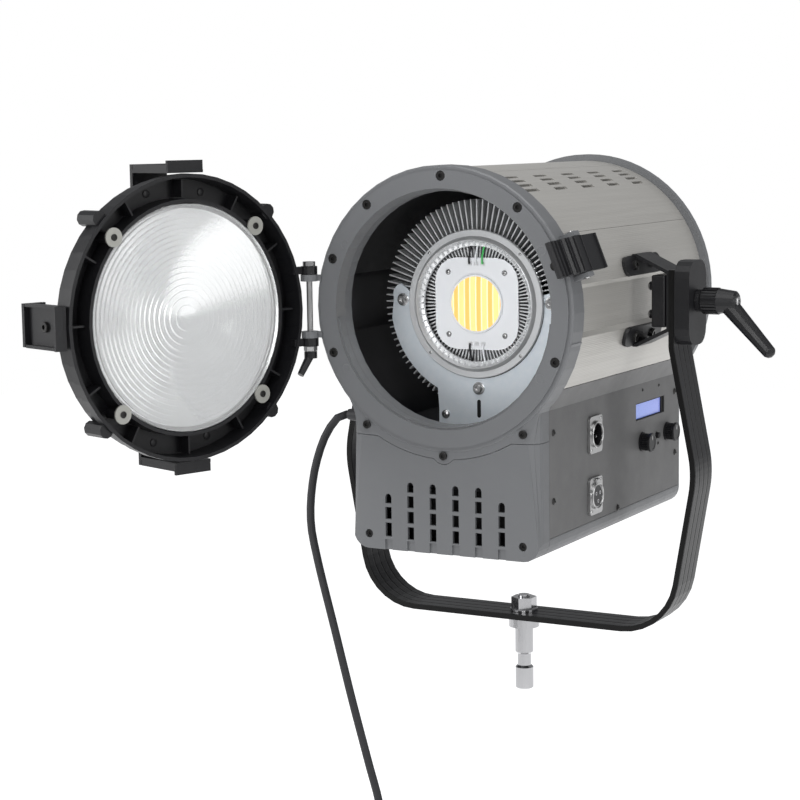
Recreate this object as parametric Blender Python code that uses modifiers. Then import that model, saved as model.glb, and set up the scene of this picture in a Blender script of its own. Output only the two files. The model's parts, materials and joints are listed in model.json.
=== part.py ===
"""Fresnel spotlight: a swing-out lens door, a focusing LED engine, a barrel over a control box, and a yoke.

Metres, +Z up. The light points along -Y, the control panel faces +X, and the origin is the centre of
the lower end of the mounting spigot. Most parts are placed from the centre of the casting's front
face, with x to the right, y backwards and z up, which the function light() turns into world places.
"""
import math

import bmesh
import bpy
from mathutils import Matrix, Vector

# Where the light stands over its spigot
AXIS_Z = 0.3460
FACE_Y = -0.1516
PIVOT_BACK = -FACE_Y

# Front casting
MOUTH_R = 0.0967
BORE_R = 0.0945
FACE_R = 0.1113
RIM_R = 0.1151
CASTING_DEPTH = 0.0218
CASTING_SIDE_Z = -0.0240
PARTING_R = 0.1207
PARTING_Z = -0.1038
COVER_FACE = 0.0020
CORNER_ROUND = 0.0090
SCREW_CIRCLE_R = 0.1066
SCREW_ANGLES = (20.3, 50.2, 89.4, 128.4, 158.3, 200.7, 339.0)
RING_STEPS = 48

# Lower box
BOX_HALF = 0.0843
BOX_END = 0.3050
EAVES_X = 0.0942
EAVES_Z = -0.0626
BEND_Z = -0.0795
RAIL_SEAM_Z = -0.1830
BOTTOM_Z = -0.1990
BOTTOM_ROUND = 0.0140
SHEET = 0.0020

# Barrel
BARREL_R = 0.1130
WALL = 0.0028
BARREL_START = 0.0221
BARREL_END = 0.2897
TOP_SEAM = 74.5
SIDE_SEAM = 32.5
CHANNEL_Z = 0.0210
CHANNEL_X = 0.1075
VENT_ANGLES = (56.3, 59.9, 63.5, 67.1)
VENT_PLACES = (0.040, 0.095, 0.150, 0.205, 0.260)
FLANGE_R = 0.1188
FLANGE_END = 0.2973
FAN_HOLE_R = 0.0560

# Yoke
BAR_WIDTH = 0.0400
BAR_THICK = 0.0046
ARM_X = 0.1444
ARM_TOP_Z = 0.0260
BAR_Z = -0.2786
STUD_R = 0.0048
STUD_HOLE_R = 0.0053
CAP_IN = 0.1470
CAP_OUT = 0.1600

# Spigot
SPIGOT_R = 0.0080
SPIGOT_FLANGE_R = 0.0135

# Lens door
HINGE_X = -0.1210
HINGE_Y = -0.0010
DOOR_OPEN = 109.4
DOOR_DROP = -0.0015
DOOR_R = 0.1132
LENS_R = 0.0900
CLAMP_R = 0.0964
PIN_R = 0.0025
PIN_HOLE_R = 0.0029

# Latch
LATCH_ANGLE = 21.5
LATCH_PIVOT_R = 0.1222
LATCH_PIVOT_Y = 0.0150

# LED engine and its focus drive
ENGINE_Y = 0.0620
HEATSINK_R = 0.0860
FIN_COUNT = 60
BEZEL_R = 0.0615
ROD_X = 0.0300
ROD_Z = -0.1260
ROD_R = 0.0040
FOCUS_Y = 0.2175
FOCUS_Z = -0.1312
DIMMER_Y = 0.2760
DIMMER_Z = -0.1295
BUTTON_Y = 0.2518
BUTTON_Z = -0.1299
MODULE = 0.00125
PINION_TEETH = 16
RACK_X = (0.0483, 0.0560)
RACK_TEETH = 24

# Sockets on the control panel
SOCKET_Y = 0.1108
SOCKET_IN_Z = -0.1100
SOCKET_OUT_Z = -0.1616
SOCKET_HALF = (0.0130, 0.0155)
SOCKET_BARREL_R = 0.0112

# Power cord
CORD_R = 0.0035
GLAND_Y = 0.0500
GLAND_Z = -0.0960
GLAND_END_X = -0.1150
CORD_GAP = 0.0016
COIL_X = -0.0280
COIL_Y = 0.0190
COIL_Z = -0.4850
COIL_R = 0.0380

GAP = 0.0003
UP_FRONT = Matrix.Rotation(math.radians(90), 4, "X")

parts = bpy.data.collections.new("fresnel_spotlight")
cutters = bpy.data.collections.new("cutters")


# Scene, places and materials

def clear_scene():
    for obj in list(bpy.data.objects):
        bpy.data.objects.remove(obj)
    bpy.context.scene.collection.children.link(parts)
    bpy.context.scene.collection.children.link(cutters)


def light(x, y, z):
    """A world place from the centre of the casting's front face."""
    return Vector((x, FACE_Y + y, AXIS_Z + z))


def paint(name, colour, roughness, metallic=0.0):
    material = bpy.data.materials.new(name)
    material.use_nodes = True
    shader = material.node_tree.nodes["Principled BSDF"]
    shader.inputs["Base Color"].default_value = (*colour, 1.0)
    shader.inputs["Roughness"].default_value = roughness
    shader.inputs["Metallic"].default_value = metallic
    material.diffuse_color = (*colour, 1.0)
    return material


def polar(radius, degrees):
    angle = math.radians(degrees)
    return radius * math.cos(angle), radius * math.sin(angle)


def arc(radius, first, last, steps, centre=(0.0, 0.0)):
    """Points along an arc, both ends included, with angles in degrees."""
    points = []
    for step in range(steps + 1):
        x, z = polar(radius, first + (last - first) * step / steps)
        points.append((centre[0] + x, centre[1] + z))
    return points


def mirrored(half):
    """A whole outline from the half at +x, top to bottom."""
    return half + [(-x, z) for x, z in reversed(half)]


def rounded_box(width, height, radius, steps=3):
    """A rectangle's outline about the origin, with rounded corners."""
    points = []
    for turn, (sx, sz) in enumerate(((1, 1), (-1, 1), (-1, -1), (1, -1))):
        centre = (sx * (width / 2 - radius), sz * (height / 2 - radius))
        points += arc(radius, 90 * turn, 90 * turn + 90, steps, centre)
    return points


# Building blocks

def add_part(name, mesh, material, collection=parts):
    obj = bpy.data.objects.new(name, mesh)
    collection.objects.link(obj)
    mesh.materials.clear()
    mesh.materials.append(material)
    mesh.shade_smooth()
    mesh.set_sharp_from_angle(angle=math.radians(35))
    return obj


def as_cutter(obj):
    parts.objects.unlink(obj)
    cutters.objects.link(obj)
    obj.hide_render = True
    obj.display_type = "WIRE"
    return obj


def mesh_from(bm, name):
    bmesh.ops.recalc_face_normals(bm, faces=bm.faces)
    mesh = bpy.data.meshes.new(name)
    bm.to_mesh(mesh)
    bm.free()
    return mesh


def evaluated(obj):
    """The object's mesh with its modifiers or curve settings made real."""
    graph = bpy.context.evaluated_depsgraph_get()
    graph.update()
    mesh = bpy.data.meshes.new_from_object(obj.evaluated_get(graph))
    mesh.transform(obj.matrix_world)
    bpy.data.objects.remove(obj)
    bm = bmesh.new()
    bm.from_mesh(mesh)
    bmesh.ops.remove_doubles(bm, verts=bm.verts, dist=1e-6)
    return bm


def box(name, low, high, material, rounding=0.0, frame=None):
    """A box between two corners given in the light's places, or in another frame."""
    low, high = Vector(low), Vector(high)
    bm = bmesh.new()
    size = Matrix.Diagonal((*(high - low), 1.0))
    bmesh.ops.create_cube(bm, size=1.0, matrix=Matrix.Translation((low + high) / 2) @ size)
    if rounding:
        bmesh.ops.bevel(bm, geom=bm.edges[:], offset=rounding, segments=2, profile=0.5, affect="EDGES")
    bmesh.ops.transform(bm, matrix=frame or Matrix.Translation(light(0, 0, 0)), verts=bm.verts)
    return add_part(name, mesh_from(bm, name), material)


def boxes(name, corners, material, frame=None):
    """Several boxes that don't touch, as one object to cut with."""
    bm = bmesh.new()
    for low, high in corners:
        low, high = Vector(low), Vector(high)
        size = Matrix.Diagonal((*(high - low), 1.0))
        bmesh.ops.create_cube(bm, size=1.0, matrix=Matrix.Translation((low + high) / 2) @ size)
    bmesh.ops.transform(bm, matrix=frame or Matrix.Translation(light(0, 0, 0)), verts=bm.verts)
    return add_part(name, mesh_from(bm, name), material)


def rod(name, start, end, radius, material, segments=20, end_radius=None, frame=None):
    """A round bar or cone between two points given in the light's places, or in another frame."""
    start, end = Vector(start), Vector(end)
    along = end - start
    turn = along.to_track_quat("Z", "Y").to_matrix().to_4x4()
    bm = bmesh.new()
    bmesh.ops.create_cone(
        bm,
        cap_ends=True,
        segments=segments,
        radius1=radius,
        radius2=radius if end_radius is None else end_radius,
        depth=along.length,
        matrix=Matrix.Translation((start + end) / 2) @ turn,
    )
    bmesh.ops.transform(bm, matrix=frame or Matrix.Translation(light(0, 0, 0)), verts=bm.verts)
    return add_part(name, mesh_from(bm, name), material)


def turned(name, profile, frame, material, steps=64, closed=True):
    """A profile of (radius, height) points turned about the frame's Z axis."""
    bm = bmesh.new()
    verts = [bm.verts.new((radius, 0.0, height)) for radius, height in profile]
    for first, second in zip(verts, verts[1:]):
        bm.edges.new((first, second))
    if closed:
        bm.edges.new((verts[-1], verts[0]))
    mesh = bpy.data.meshes.new(name)
    bm.to_mesh(mesh)
    bm.free()
    obj = bpy.data.objects.new(name, mesh)
    parts.objects.link(obj)
    screw = obj.modifiers.new("turn", "SCREW")
    screw.axis = "Z"
    screw.steps = steps
    screw.render_steps = steps
    screw.use_merge_vertices = True
    screw.merge_threshold = 0.00001
    bpy.context.view_layer.update()
    solid = evaluated(obj)
    bmesh.ops.transform(solid, matrix=frame, verts=solid.verts)
    return add_part(name, mesh_from(solid, name), material)


def plate(name, loops, low, high, frame, material, rounded=None):
    """Flat outlines in the frame's XY plane, filled, and thick from low to high along its Z.

    rounded is (a test of an edge's middle, radius) for edges that are rounded over.
    """
    curve = bpy.data.curves.new(name, "CURVE")
    curve.dimensions = "2D"
    curve.fill_mode = "BOTH"
    curve.extrude = (high - low) / 2
    for loop in loops:
        spline = curve.splines.new("POLY")
        spline.points.add(len(loop) - 1)
        for point, (x, y) in zip(spline.points, loop):
            point.co = (x, y, 0.0, 1.0)
        spline.use_cyclic_u = True
    obj = bpy.data.objects.new(name, curve)
    parts.objects.link(obj)
    obj.location = (0.0, 0.0, (low + high) / 2)
    bpy.context.view_layer.update()
    bm = evaluated(obj)
    bpy.data.curves.remove(curve)
    if rounded:
        test, radius = rounded
        bmesh.ops.dissolve_limit(bm, angle_limit=math.radians(1), verts=bm.verts, edges=bm.edges)
        edges = [e for e in bm.edges if test((e.verts[0].co + e.verts[1].co) / 2)]
        bmesh.ops.bevel(bm, geom=edges, offset=radius, segments=3, profile=0.5, affect="EDGES")
    bmesh.ops.transform(bm, matrix=frame, verts=bm.verts)
    return add_part(name, mesh_from(bm, name), material)


def front_frame(back=0.0):
    """X right, Y up and Z out of the light's front, from a depth behind the front face."""
    return Matrix.Translation(light(0, back, 0)) @ UP_FRONT


def side_frame(x, y, z, side=1):
    """Z out of the light's side, X backwards on the right and forwards on the left, and Y up."""
    turn = Matrix(((0, 0, side, 0), (side, 0, 0, 0), (0, 1, 0, 0), (0, 0, 0, 1)))
    return Matrix.Translation(light(x, y, z)) @ turn


def combine(obj, other, operation):
    boolean = obj.modifiers.new(operation.lower(), "BOOLEAN")
    boolean.operation = operation
    boolean.object = as_cutter(other)
    boolean.solver = "EXACT"


def cut(obj, *others):
    for other in others:
        combine(obj, other, "DIFFERENCE")


def join(obj, *others):
    for other in others:
        combine(obj, other, "UNION")


def settle(obj):
    """Makes an object's modifiers real, so that it can be copied or cut quickly."""
    name = obj.name
    material = obj.data.materials[0]
    used = [modifier.object for modifier in obj.modifiers]
    obj.name = name + "_draft"
    bpy.context.view_layer.update()
    settled = add_part(name, mesh_from(evaluated(obj), name), material)
    for cutter in used:
        bpy.data.objects.remove(cutter)
    return settled


def add_pivot(name, place, turn=None):
    """An empty on a joint's axis, in the pose where its parts were built."""
    empty = bpy.data.objects.new(name, None)
    empty.hide_render = True
    parts.objects.link(empty)
    empty.matrix_world = Matrix.Translation(place) @ (turn or Matrix.Identity(4))
    return empty


def hang_on(empty, objects):
    bpy.context.view_layer.update()
    for obj in objects:
        obj.parent = empty
        obj.matrix_parent_inverse = empty.matrix_world.inverted()


# Front casting and lower cover

def parting_line(grow):
    """The right half of the line that parts the casting from its cover, round the ring and a screw."""
    radius = PARTING_R + grow
    side = math.degrees(math.atan2(PARTING_Z - grow, 0.0600))
    bump = -math.degrees(math.acos(0.0087 / radius))
    return arc(radius, side, bump, 8) + [(0.0050, -0.1235 - grow), (0.0016, -0.1247 - grow)]


def round_front_corner(face, lowest):
    """Picks the upright front edges at the sides of the box, in a frame whose Z points forwards."""
    def test(middle):
        return abs(abs(middle.x) - BOX_HALF) < 1e-5 and middle.y < lowest and abs(middle.z - face) < 1e-5
    return test, CORNER_ROUND


def latch_frame():
    """X outwards, Y backwards and Z along the latch's pin, which is at the origin."""
    x, z = polar(LATCH_PIVOT_R, LATCH_ANGLE)
    turn = Matrix.Rotation(-math.radians(LATCH_ANGLE), 4, "Y")
    return Matrix.Translation(light(x, LATCH_PIVOT_Y, z)) @ turn


def tangent_frame(radius, degrees, back):
    """Z outwards from the light's axis, X backwards and Y round the barrel."""
    x, z = polar(radius, degrees)
    s, c = math.sin(math.radians(degrees)), math.cos(math.radians(degrees))
    turn = Matrix(((0, -s, c, 0), (1, 0, 0, 0), (0, c, s, 0), (0, 0, 0, 1)))
    return Matrix.Translation(light(x, back, z)) @ turn


def make_front_casting(metal):
    profile = [
        (FACE_R, 0.0),
        (FACE_R, -0.0012),
        (0.1140, -0.0012),
        (RIM_R, -0.0024),
        (RIM_R, -CASTING_DEPTH),
        (BORE_R, -CASTING_DEPTH),
        (BORE_R, -0.0110),
        (MOUTH_R, 0.0),
    ]
    casting = turned("front_casting", profile, front_frame(), metal, steps=RING_STEPS)
    half = [(0.0900, -0.0050), (RIM_R - 0.0020, CASTING_SIDE_Z), (BOX_HALF, BEND_Z), (BOX_HALF, PARTING_Z)]
    shoulders = plate(
        "casting_shoulders",
        [mirrored(half + parting_line(0.0))],
        -CASTING_DEPTH + 0.0001,
        -COVER_FACE,
        front_frame(),
        metal,
        rounded=round_front_corner(-COVER_FACE, BEND_Z),
    )
    cut(shoulders, rod("casting_bore", (0, -0.010, 0), (0, 0.030, 0), BORE_R + 0.0003, metal, RING_STEPS))
    join(casting, settle(shoulders))
    for side in (1, -1):
        low, high = sorted((side * 0.0207, side * 0.0261))
        lug = rod("hinge_lug", (HINGE_X, HINGE_Y, low), (HINGE_X, HINGE_Y, high), 0.0072, metal, 14)
        join(casting, lug, box("hinge_arm", (HINGE_X, 0.0002, low + GAP), (-0.1105, 0.0057, high - GAP), metal))
        low, high = sorted((side * 0.0149, side * 0.0186))
        frame = latch_frame()
        join(casting, box("latch_ear", (-0.0120, -0.0055, low), (0.0042, 0.0055, high), metal, 0.0, frame))
    hinge_bore = rod("hinge_bore", (HINGE_X, HINGE_Y, -0.05), (HINGE_X, HINGE_Y, 0.05), PIN_HOLE_R, metal, 12)
    latch_bore = rod("latch_bore", (0, 0, -0.03), (0, 0, 0.03), 0.0018, metal, 10, frame=latch_frame())
    cut(casting, hinge_bore, latch_bore)
    for angle in SCREW_ANGLES:
        x, z = polar(SCREW_CIRCLE_R, angle)
        cut(casting, rod("screw_recess", (x, -0.001, z), (x, 0.0022, z), 0.0042, metal, 10))
    return settle(casting)


def vent_slots():
    """The upright slots of the front cover, crossed by bars, as outlines in the front frame."""
    loops = []
    long_slot = ((-0.1417, -0.1502), (-0.1532, -0.1630), (-0.1660, -0.1758), (-0.1788, -0.1892))
    short_slot = ((-0.1523, -0.1605), (-0.1635, -0.1735), (-0.1765, -0.1880))
    for column, openings in ((0.0103, long_slot), (0.0309, long_slot), (0.0515, short_slot)):
        for side in (1, -1):
            for number, (top, bottom) in enumerate(openings):
                x, half = side * column, 0.0029
                loop = [(x - half, bottom), (x + half, bottom)]
                if number:
                    loop += [(x + half, top), (x - half, top)]
                else:
                    loop += arc(half, 0, 180, 4, (x, top - half))
                loops.append(loop)
    return loops


def make_lower_front_cover(metal):
    top = [(BOX_HALF, PARTING_Z - 0.0004)] + parting_line(0.0004)
    bottom = arc(BOTTOM_ROUND, 0, -90, 5, (BOX_HALF - BOTTOM_ROUND, BOTTOM_Z + BOTTOM_ROUND))
    cover = plate(
        "lower_front_cover",
        [mirrored(list(reversed(bottom)) + top)],
        -CASTING_DEPTH,
        -COVER_FACE,
        front_frame(),
        metal,
        rounded=round_front_corner(-COVER_FACE, PARTING_Z),
    )
    hollow = plate(
        "cover_hollow",
        [rounded_box(2 * BOX_HALF - 0.0056, 0.0650, 0.0110)],
        -0.030,
        -0.0050,
        Matrix.Translation(Vector((0, 0, BOTTOM_Z + 0.0028 + 0.0325))) @ front_frame(),
        metal,
    )
    slots = plate("cover_slots", vent_slots(), -0.010, 0.001, front_frame(), metal)
    notches = boxes(
        "cover_notches",
        [((x - 0.0034, 0.0, BOTTOM_Z - 0.002), (x + 0.0034, 0.0034, -0.1905))
         for x in (-0.0515, -0.0309, -0.0103, 0.0103, 0.0309, 0.0515)],
        metal,
    )
    cut(cover, hollow, slots, notches)
    for side in (1, -1):
        place = (side * 0.0699, -0.1868)
        cut(cover, rod("cover_screw_hole", (place[0], -0.001, place[1]), (place[0], 0.010, place[1]), 0.0036, metal, 14))
    return settle(cover)


# Barrel

def barrel_sector(name, first, last, metal, steps=10):
    outline = arc(BARREL_R, first, last, steps) + arc(BARREL_R - WALL, last, first, steps)
    return plate(name, [outline], -BARREL_END, -BARREL_START, front_frame(), metal)


def make_barrel(metal):
    join_gap = 0.08
    barrel_sector("barrel_top", TOP_SEAM + join_gap, 180 - TOP_SEAM - join_gap, metal)
    for side, start in (("right", SIDE_SEAM), ("left", 180 - TOP_SEAM)):
        end = start + TOP_SEAM - SIDE_SEAM
        panel = barrel_sector("barrel_vent_" + side, start + join_gap, end - join_gap, metal)
        for angle in VENT_ANGLES:
            turn = angle if side == "right" else 180 - angle
            corners = [((back - 0.0120, -0.0017, -0.008), (back + 0.0120, 0.0017, 0.004)) for back in VENT_PLACES]
            cut(panel, boxes("vent_row", corners, metal, tangent_frame(BARREL_R, turn, 0.0)))
        settle(panel)
    for side, sign in (("right", 1), ("left", -1)):
        lip = math.degrees(math.asin(CHANNEL_Z / BARREL_R))
        foot = math.degrees(math.asin(EAVES_Z / BARREL_R)) + 0.3
        outer = arc(BARREL_R, SIDE_SEAM - join_gap, lip, 5)
        outer += [(CHANNEL_X, CHANNEL_Z - 0.0036), (CHANNEL_X, -CHANNEL_Z + 0.0036)]
        outer += arc(BARREL_R, -lip, foot, 5)
        inner = arc(BARREL_R - WALL, foot, -lip - 1.5, 5)
        inner += [(CHANNEL_X - WALL, -CHANNEL_Z + 0.0020), (CHANNEL_X - WALL, CHANNEL_Z - 0.0020)]
        inner += arc(BARREL_R - WALL, lip + 1.5, SIDE_SEAM - join_gap, 5)
        outline = [(sign * x, z) for x, z in outer + inner]
        plate("barrel_side_" + side, [outline], -BARREL_END, -BARREL_START, front_frame(), metal)


def make_rear_flange(metal):
    edge = math.degrees(math.asin((EAVES_Z + 0.0012) / FLANGE_R))
    outline = arc(FLANGE_R, edge, 180 - edge, 48)
    hole = arc(FAN_HOLE_R, 0, 360, 40)[:-1]
    plate("rear_flange", [outline, hole], -FLANGE_END, -BARREL_END - GAP, front_frame(), metal)


# Lower box

def box_side_outline():
    return [
        (EAVES_X, EAVES_Z),
        (BOX_HALF, BEND_Z),
        (BOX_HALF, RAIL_SEAM_Z + 0.0002),
        (BOX_HALF - SHEET, RAIL_SEAM_Z + 0.0002),
        (BOX_HALF - SHEET, BEND_Z - 0.0004),
        (EAVES_X - 0.0022, EAVES_Z - 0.0002),
    ]


def make_control_panel(metal):
    back = CASTING_DEPTH + GAP
    panel = plate("control_panel", [box_side_outline()], -BOX_END + GAP, -back, front_frame(), metal)
    holes = [(BUTTON_Y, BUTTON_Z, 0.0031), (FOCUS_Y, FOCUS_Z, 0.0036), (DIMMER_Y, DIMMER_Z, 0.0036)]
    holes += [(SOCKET_Y, SOCKET_IN_Z, SOCKET_BARREL_R + GAP), (SOCKET_Y, SOCKET_OUT_Z, SOCKET_BARREL_R + GAP)]
    for y, z, radius in holes:
        cut(panel, rod("panel_hole", (BOX_HALF - 0.01, y, z), (BOX_HALF + 0.01, y, z), radius, metal, 16))
    window = ((BOX_HALF - 0.01, 0.2035, -0.1112), (BOX_HALF + 0.01, 0.2705, -0.0962))
    catch = ((BOX_HALF - 0.01, SOCKET_Y - 0.0039, SOCKET_OUT_Z + 0.0100),
             (BOX_HALF + 0.01, SOCKET_Y + 0.0039, SOCKET_OUT_Z + 0.0148))
    cut(panel, boxes("panel_windows", [window], metal), boxes("catch_window", [catch], metal))
    return settle(panel)


def make_box_shell(metal):
    outline = [(-x, z) for x, z in box_side_outline()]
    plate("left_panel", [outline], -BOX_END + GAP, -CASTING_DEPTH - GAP, front_frame(), metal)
    centre = (BOX_HALF - BOTTOM_ROUND, BOTTOM_Z + BOTTOM_ROUND)
    outer = [(BOX_HALF, RAIL_SEAM_Z - 0.0002)] + arc(BOTTOM_ROUND, 0, -90, 6, centre)
    inner = [(BOX_HALF - SHEET, RAIL_SEAM_Z - 0.0002)] + arc(BOTTOM_ROUND - SHEET, 0, -90, 6, centre)
    right = outer + [(-x, z) for x, z in reversed(outer)]
    loop = right + inner_return(inner)
    plate("bottom_cover", [loop], -BOX_END + GAP, -CASTING_DEPTH - GAP, front_frame(), metal)
    corners = [(EAVES_X, EAVES_Z), (BOX_HALF, BEND_Z)] + arc(BOTTOM_ROUND, 0, -90, 6, centre)
    plate("rear_panel", [mirrored(corners)], -BOX_END - 0.0024, -BOX_END, front_frame(), metal)


def inner_return(inner):
    """The inside of a U section, from the left end back to the right end."""
    return [(-x, z) for x, z in inner] + list(reversed(inner))


def make_power_supply(plastic):
    box("power_supply", (-0.0700, 0.0300, BOTTOM_Z + 0.0024), (0.0420, 0.2000, -0.1500), plastic, 0.001)


# Controls and sockets on the panel

def make_display(glass):
    box("display_window", (0.0785, 0.2010, -0.1140), (BOX_HALF - SHEET - GAP, 0.2730, -0.0935), glass)


def make_socket(name, z, metal, is_inlet):
    """A panel socket: a flange outside the panel and a barrel behind it."""
    frame = side_frame(BOX_HALF, SOCKET_Y, z)
    width, height = 2 * SOCKET_HALF[0], 2 * SOCKET_HALF[1]
    flange = plate(name, [rounded_box(width, height, 0.0030)], GAP, 0.0024, frame, metal)
    barrel = rod(name + "_barrel", (0, 0, -0.0200), (0, 0, 0.0036), SOCKET_BARREL_R, metal, 16, frame=frame)
    join(flange, barrel)
    socket = settle(flange)
    if is_inlet:
        cut(socket, rod("socket_mouth", (0, 0, -0.0180), (0, 0, 0.0100), 0.0096, metal, 16, frame=frame))
        socket = settle(socket)
        for angle in (90, 210, 330):
            x, y = polar(0.0045, angle)
            join(socket, rod("socket_pin", (x, y, -0.0190), (x, y, -0.0030), 0.0012, metal, 6, frame=frame))
    else:
        for angle in (30, 150, 270):
            x, y = polar(0.0045, angle)
            cut(socket, rod("socket_hole", (x, y, -0.0120), (x, y, 0.0100), 0.0014, metal, 6, frame=frame))
        catch = boxes("catch_slot", [((-0.0039, 0.0100, -0.030), (0.0039, 0.0148, 0.010))], metal, frame)
        cut(socket, catch)
    return settle(socket)


def make_socket_catch(metal):
    frame = side_frame(BOX_HALF, SOCKET_Y, SOCKET_OUT_Z)
    catch = box("socket_catch", (-0.0035, 0.0104, -0.0040), (0.0035, 0.0144, 0.0044), metal, 0.0006, frame)
    hang_on(add_pivot("socket_catch_slide", light(BOX_HALF, SOCKET_Y, SOCKET_OUT_Z)), [catch])


def make_knob(name, y, z, plastic):
    """A round knob clear of the panel, on a stem through the panel that fills its own bore."""
    frame = side_frame(BOX_HALF, y, z)
    profile = [(0.0, 0.0102), (0.0066, 0.0102), (0.0078, 0.0094), (0.0082, 0.0030), (0.0088, 0.0022),
               (0.0088, 0.0004), (0.0031, 0.0004), (0.0031, -0.0060), (0.0, -0.0060)]
    return turned(name, profile, frame, plastic, steps=16, closed=False)


def involute(radius, base):
    """The angle by which an involute flank has turned at a radius."""
    cosine = min(1.0, base / radius)
    slope = math.acos(cosine)
    return math.tan(slope) - slope


def pinion_outline():
    """A spur gear's outline with a tooth pointing up, thinned a little for play."""
    pitch_r = MODULE * PINION_TEETH / 2
    base = pitch_r * math.cos(math.radians(20))
    radii = [base + (pitch_r + 0.9 * MODULE - base) * step / 2 for step in range(3)]
    half_tooth = math.pi / (2 * PINION_TEETH) - 0.0100
    points = []
    for tooth in range(PINION_TEETH):
        middle = math.pi / 2 + 2 * math.pi * tooth / PINION_TEETH
        flank = [(r, half_tooth + involute(pitch_r, base) - involute(r, base)) for r in radii]
        root = pitch_r - 1.2 * MODULE
        rising = [(root, flank[0][1])] + flank
        for r, turn in rising:
            points.append((r * math.cos(middle - turn), r * math.sin(middle - turn)))
        for r, turn in reversed(rising):
            points.append((r * math.cos(middle + turn), r * math.sin(middle + turn)))
    return points


def rack_outline():
    """The rack's outline in places (y, z): a plain bar above, and teeth that point down."""
    pitch = math.pi * MODULE
    line = FOCUS_Z + MODULE * PINION_TEETH / 2
    tip, root = line - 0.85 * MODULE, line + 1.15 * MODULE
    slope = math.tan(math.radians(20))
    points = [(0.0700, -0.1130), (0.0700, root)]
    for tooth in range(RACK_TEETH):
        middle = FOCUS_Y + (tooth - RACK_TEETH / 2 + 0.5) * pitch
        half = pitch / 4 - 0.0001
        points.append((middle - half - (root - line) * slope, root))
        points.append((middle - half + (line - tip) * slope, tip))
        points.append((middle + half - (line - tip) * slope, tip))
        points.append((middle + half + (root - line) * slope, root))
    end = points[-1][0] + 0.002
    return points + [(end, root), (end, -0.1130)]


def make_focus_drive(plastic, steel):
    frame = side_frame(0.0, FOCUS_Y, FOCUS_Z)
    gear = plate("focus_pinion", [pinion_outline()], *RACK_X, frame, steel)
    join(gear, rod("focus_shaft", (0, 0, 0.0475), (0, 0, BOX_HALF - 0.0060 - GAP), 0.0031, steel, 16, frame=frame))
    pinion = settle(gear)
    knob = make_knob("focus_knob", FOCUS_Y, FOCUS_Z, plastic)
    hang_on(add_pivot("focus_turn", light(BOX_HALF, FOCUS_Y, FOCUS_Z)), [pinion, knob])


def make_dimmer(plastic):
    knob = make_knob("dimmer_knob", DIMMER_Y, DIMMER_Z, plastic)
    hang_on(add_pivot("dimmer_turn", light(BOX_HALF, DIMMER_Y, DIMMER_Z)), [knob])


def make_menu_button(plastic):
    start, end = (BOX_HALF - 0.0060, BUTTON_Y, BUTTON_Z), (BOX_HALF + 0.0028, BUTTON_Y, BUTTON_Z)
    button = rod("menu_button", start, end, 0.0027, plastic, 16)
    hang_on(add_pivot("menu_button_slide", light(BOX_HALF, BUTTON_Y, BUTTON_Z)), [button])


# LED engine, which slides on two rods

def heatsink_outline():
    points = []
    for fin in range(FIN_COUNT):
        middle = 360 * fin / FIN_COUNT
        for radius, half in ((0.0340, 0.00072), (HEATSINK_R, 0.00100)):
            turn = math.degrees(half / radius)
            points.append((radius, middle - turn))
        for radius, half in ((HEATSINK_R, 0.00100), (0.0340, 0.00072)):
            turn = math.degrees(half / radius)
            points.append((radius, middle + turn))
    return [polar(radius, degrees) for radius, degrees in points]


def make_led_engine(aluminium, chrome, white, phosphor, zinc, steel):
    frame = front_frame(ENGINE_Y)
    heatsink = plate("heatsink", [heatsink_outline()], -0.0480, -0.0040, frame, aluminium)
    profile = [(0.0510, 0.0050), (0.0545, 0.0012), (BEZEL_R, 0.0010), (BEZEL_R, -0.0018), (0.0475, -0.0018),
               (0.0475, 0.0040)]
    bezel = turned("led_bezel", profile, frame, chrome, steps=40)
    board = plate("led_board", [rounded_box(0.0760, 0.0760, 0.0200, 4)], -0.0037, -0.0022, frame, white)
    emitter = rod("led_emitter", (0, 0, -0.0019), (0, 0, -0.0006), 0.0240, phosphor, 32, frame=frame)
    inner = arc(BEZEL_R + 0.0006, 172, 368, 28)
    right = [(0.0770, 0.0130)] + arc(0.0900, 6, -42, 8) + [(0.0600, -0.0720), (0.0600, -0.1180)]
    left = [(-0.0360, -0.1180), (-0.0350, -0.0900)] + arc(0.0800, 243, 190, 8)
    lobe = arc(0.0095, 200, 100, 4, (-0.0682, 0.0060))
    carrier = plate("engine_carrier", [inner + right + left + lobe], -0.0030, -0.0011, frame, zinc)
    slider = box("engine_slider", (-0.0480, 0.0653, -0.1370), (0.0480, 0.1000, -0.1085), aluminium, 0.001)
    for side in (1, -1):
        x = side * ROD_X
        cut(slider, rod("slider_bore", (x, 0.05, ROD_Z), (x, 0.12, ROD_Z), ROD_R + 0.0004, steel, 20))
    slider = settle(slider)
    rack_frame = side_frame(0.0, 0.0, 0.0)
    rack = plate("focus_rack", [rack_outline()], *RACK_X, rack_frame, steel)
    hang_on(add_pivot("engine_slide", light(0, ENGINE_Y, 0)), [heatsink, bezel, board, emitter, carrier, slider, rack])


def make_guide_rods(steel):
    for side, x in (("right", ROD_X), ("left", -ROD_X)):
        rod("guide_rod_" + side, (x, CASTING_DEPTH + GAP, ROD_Z), (x, BOX_END - GAP, ROD_Z), ROD_R, steel, 20)


# Fan in the rear flange

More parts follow.
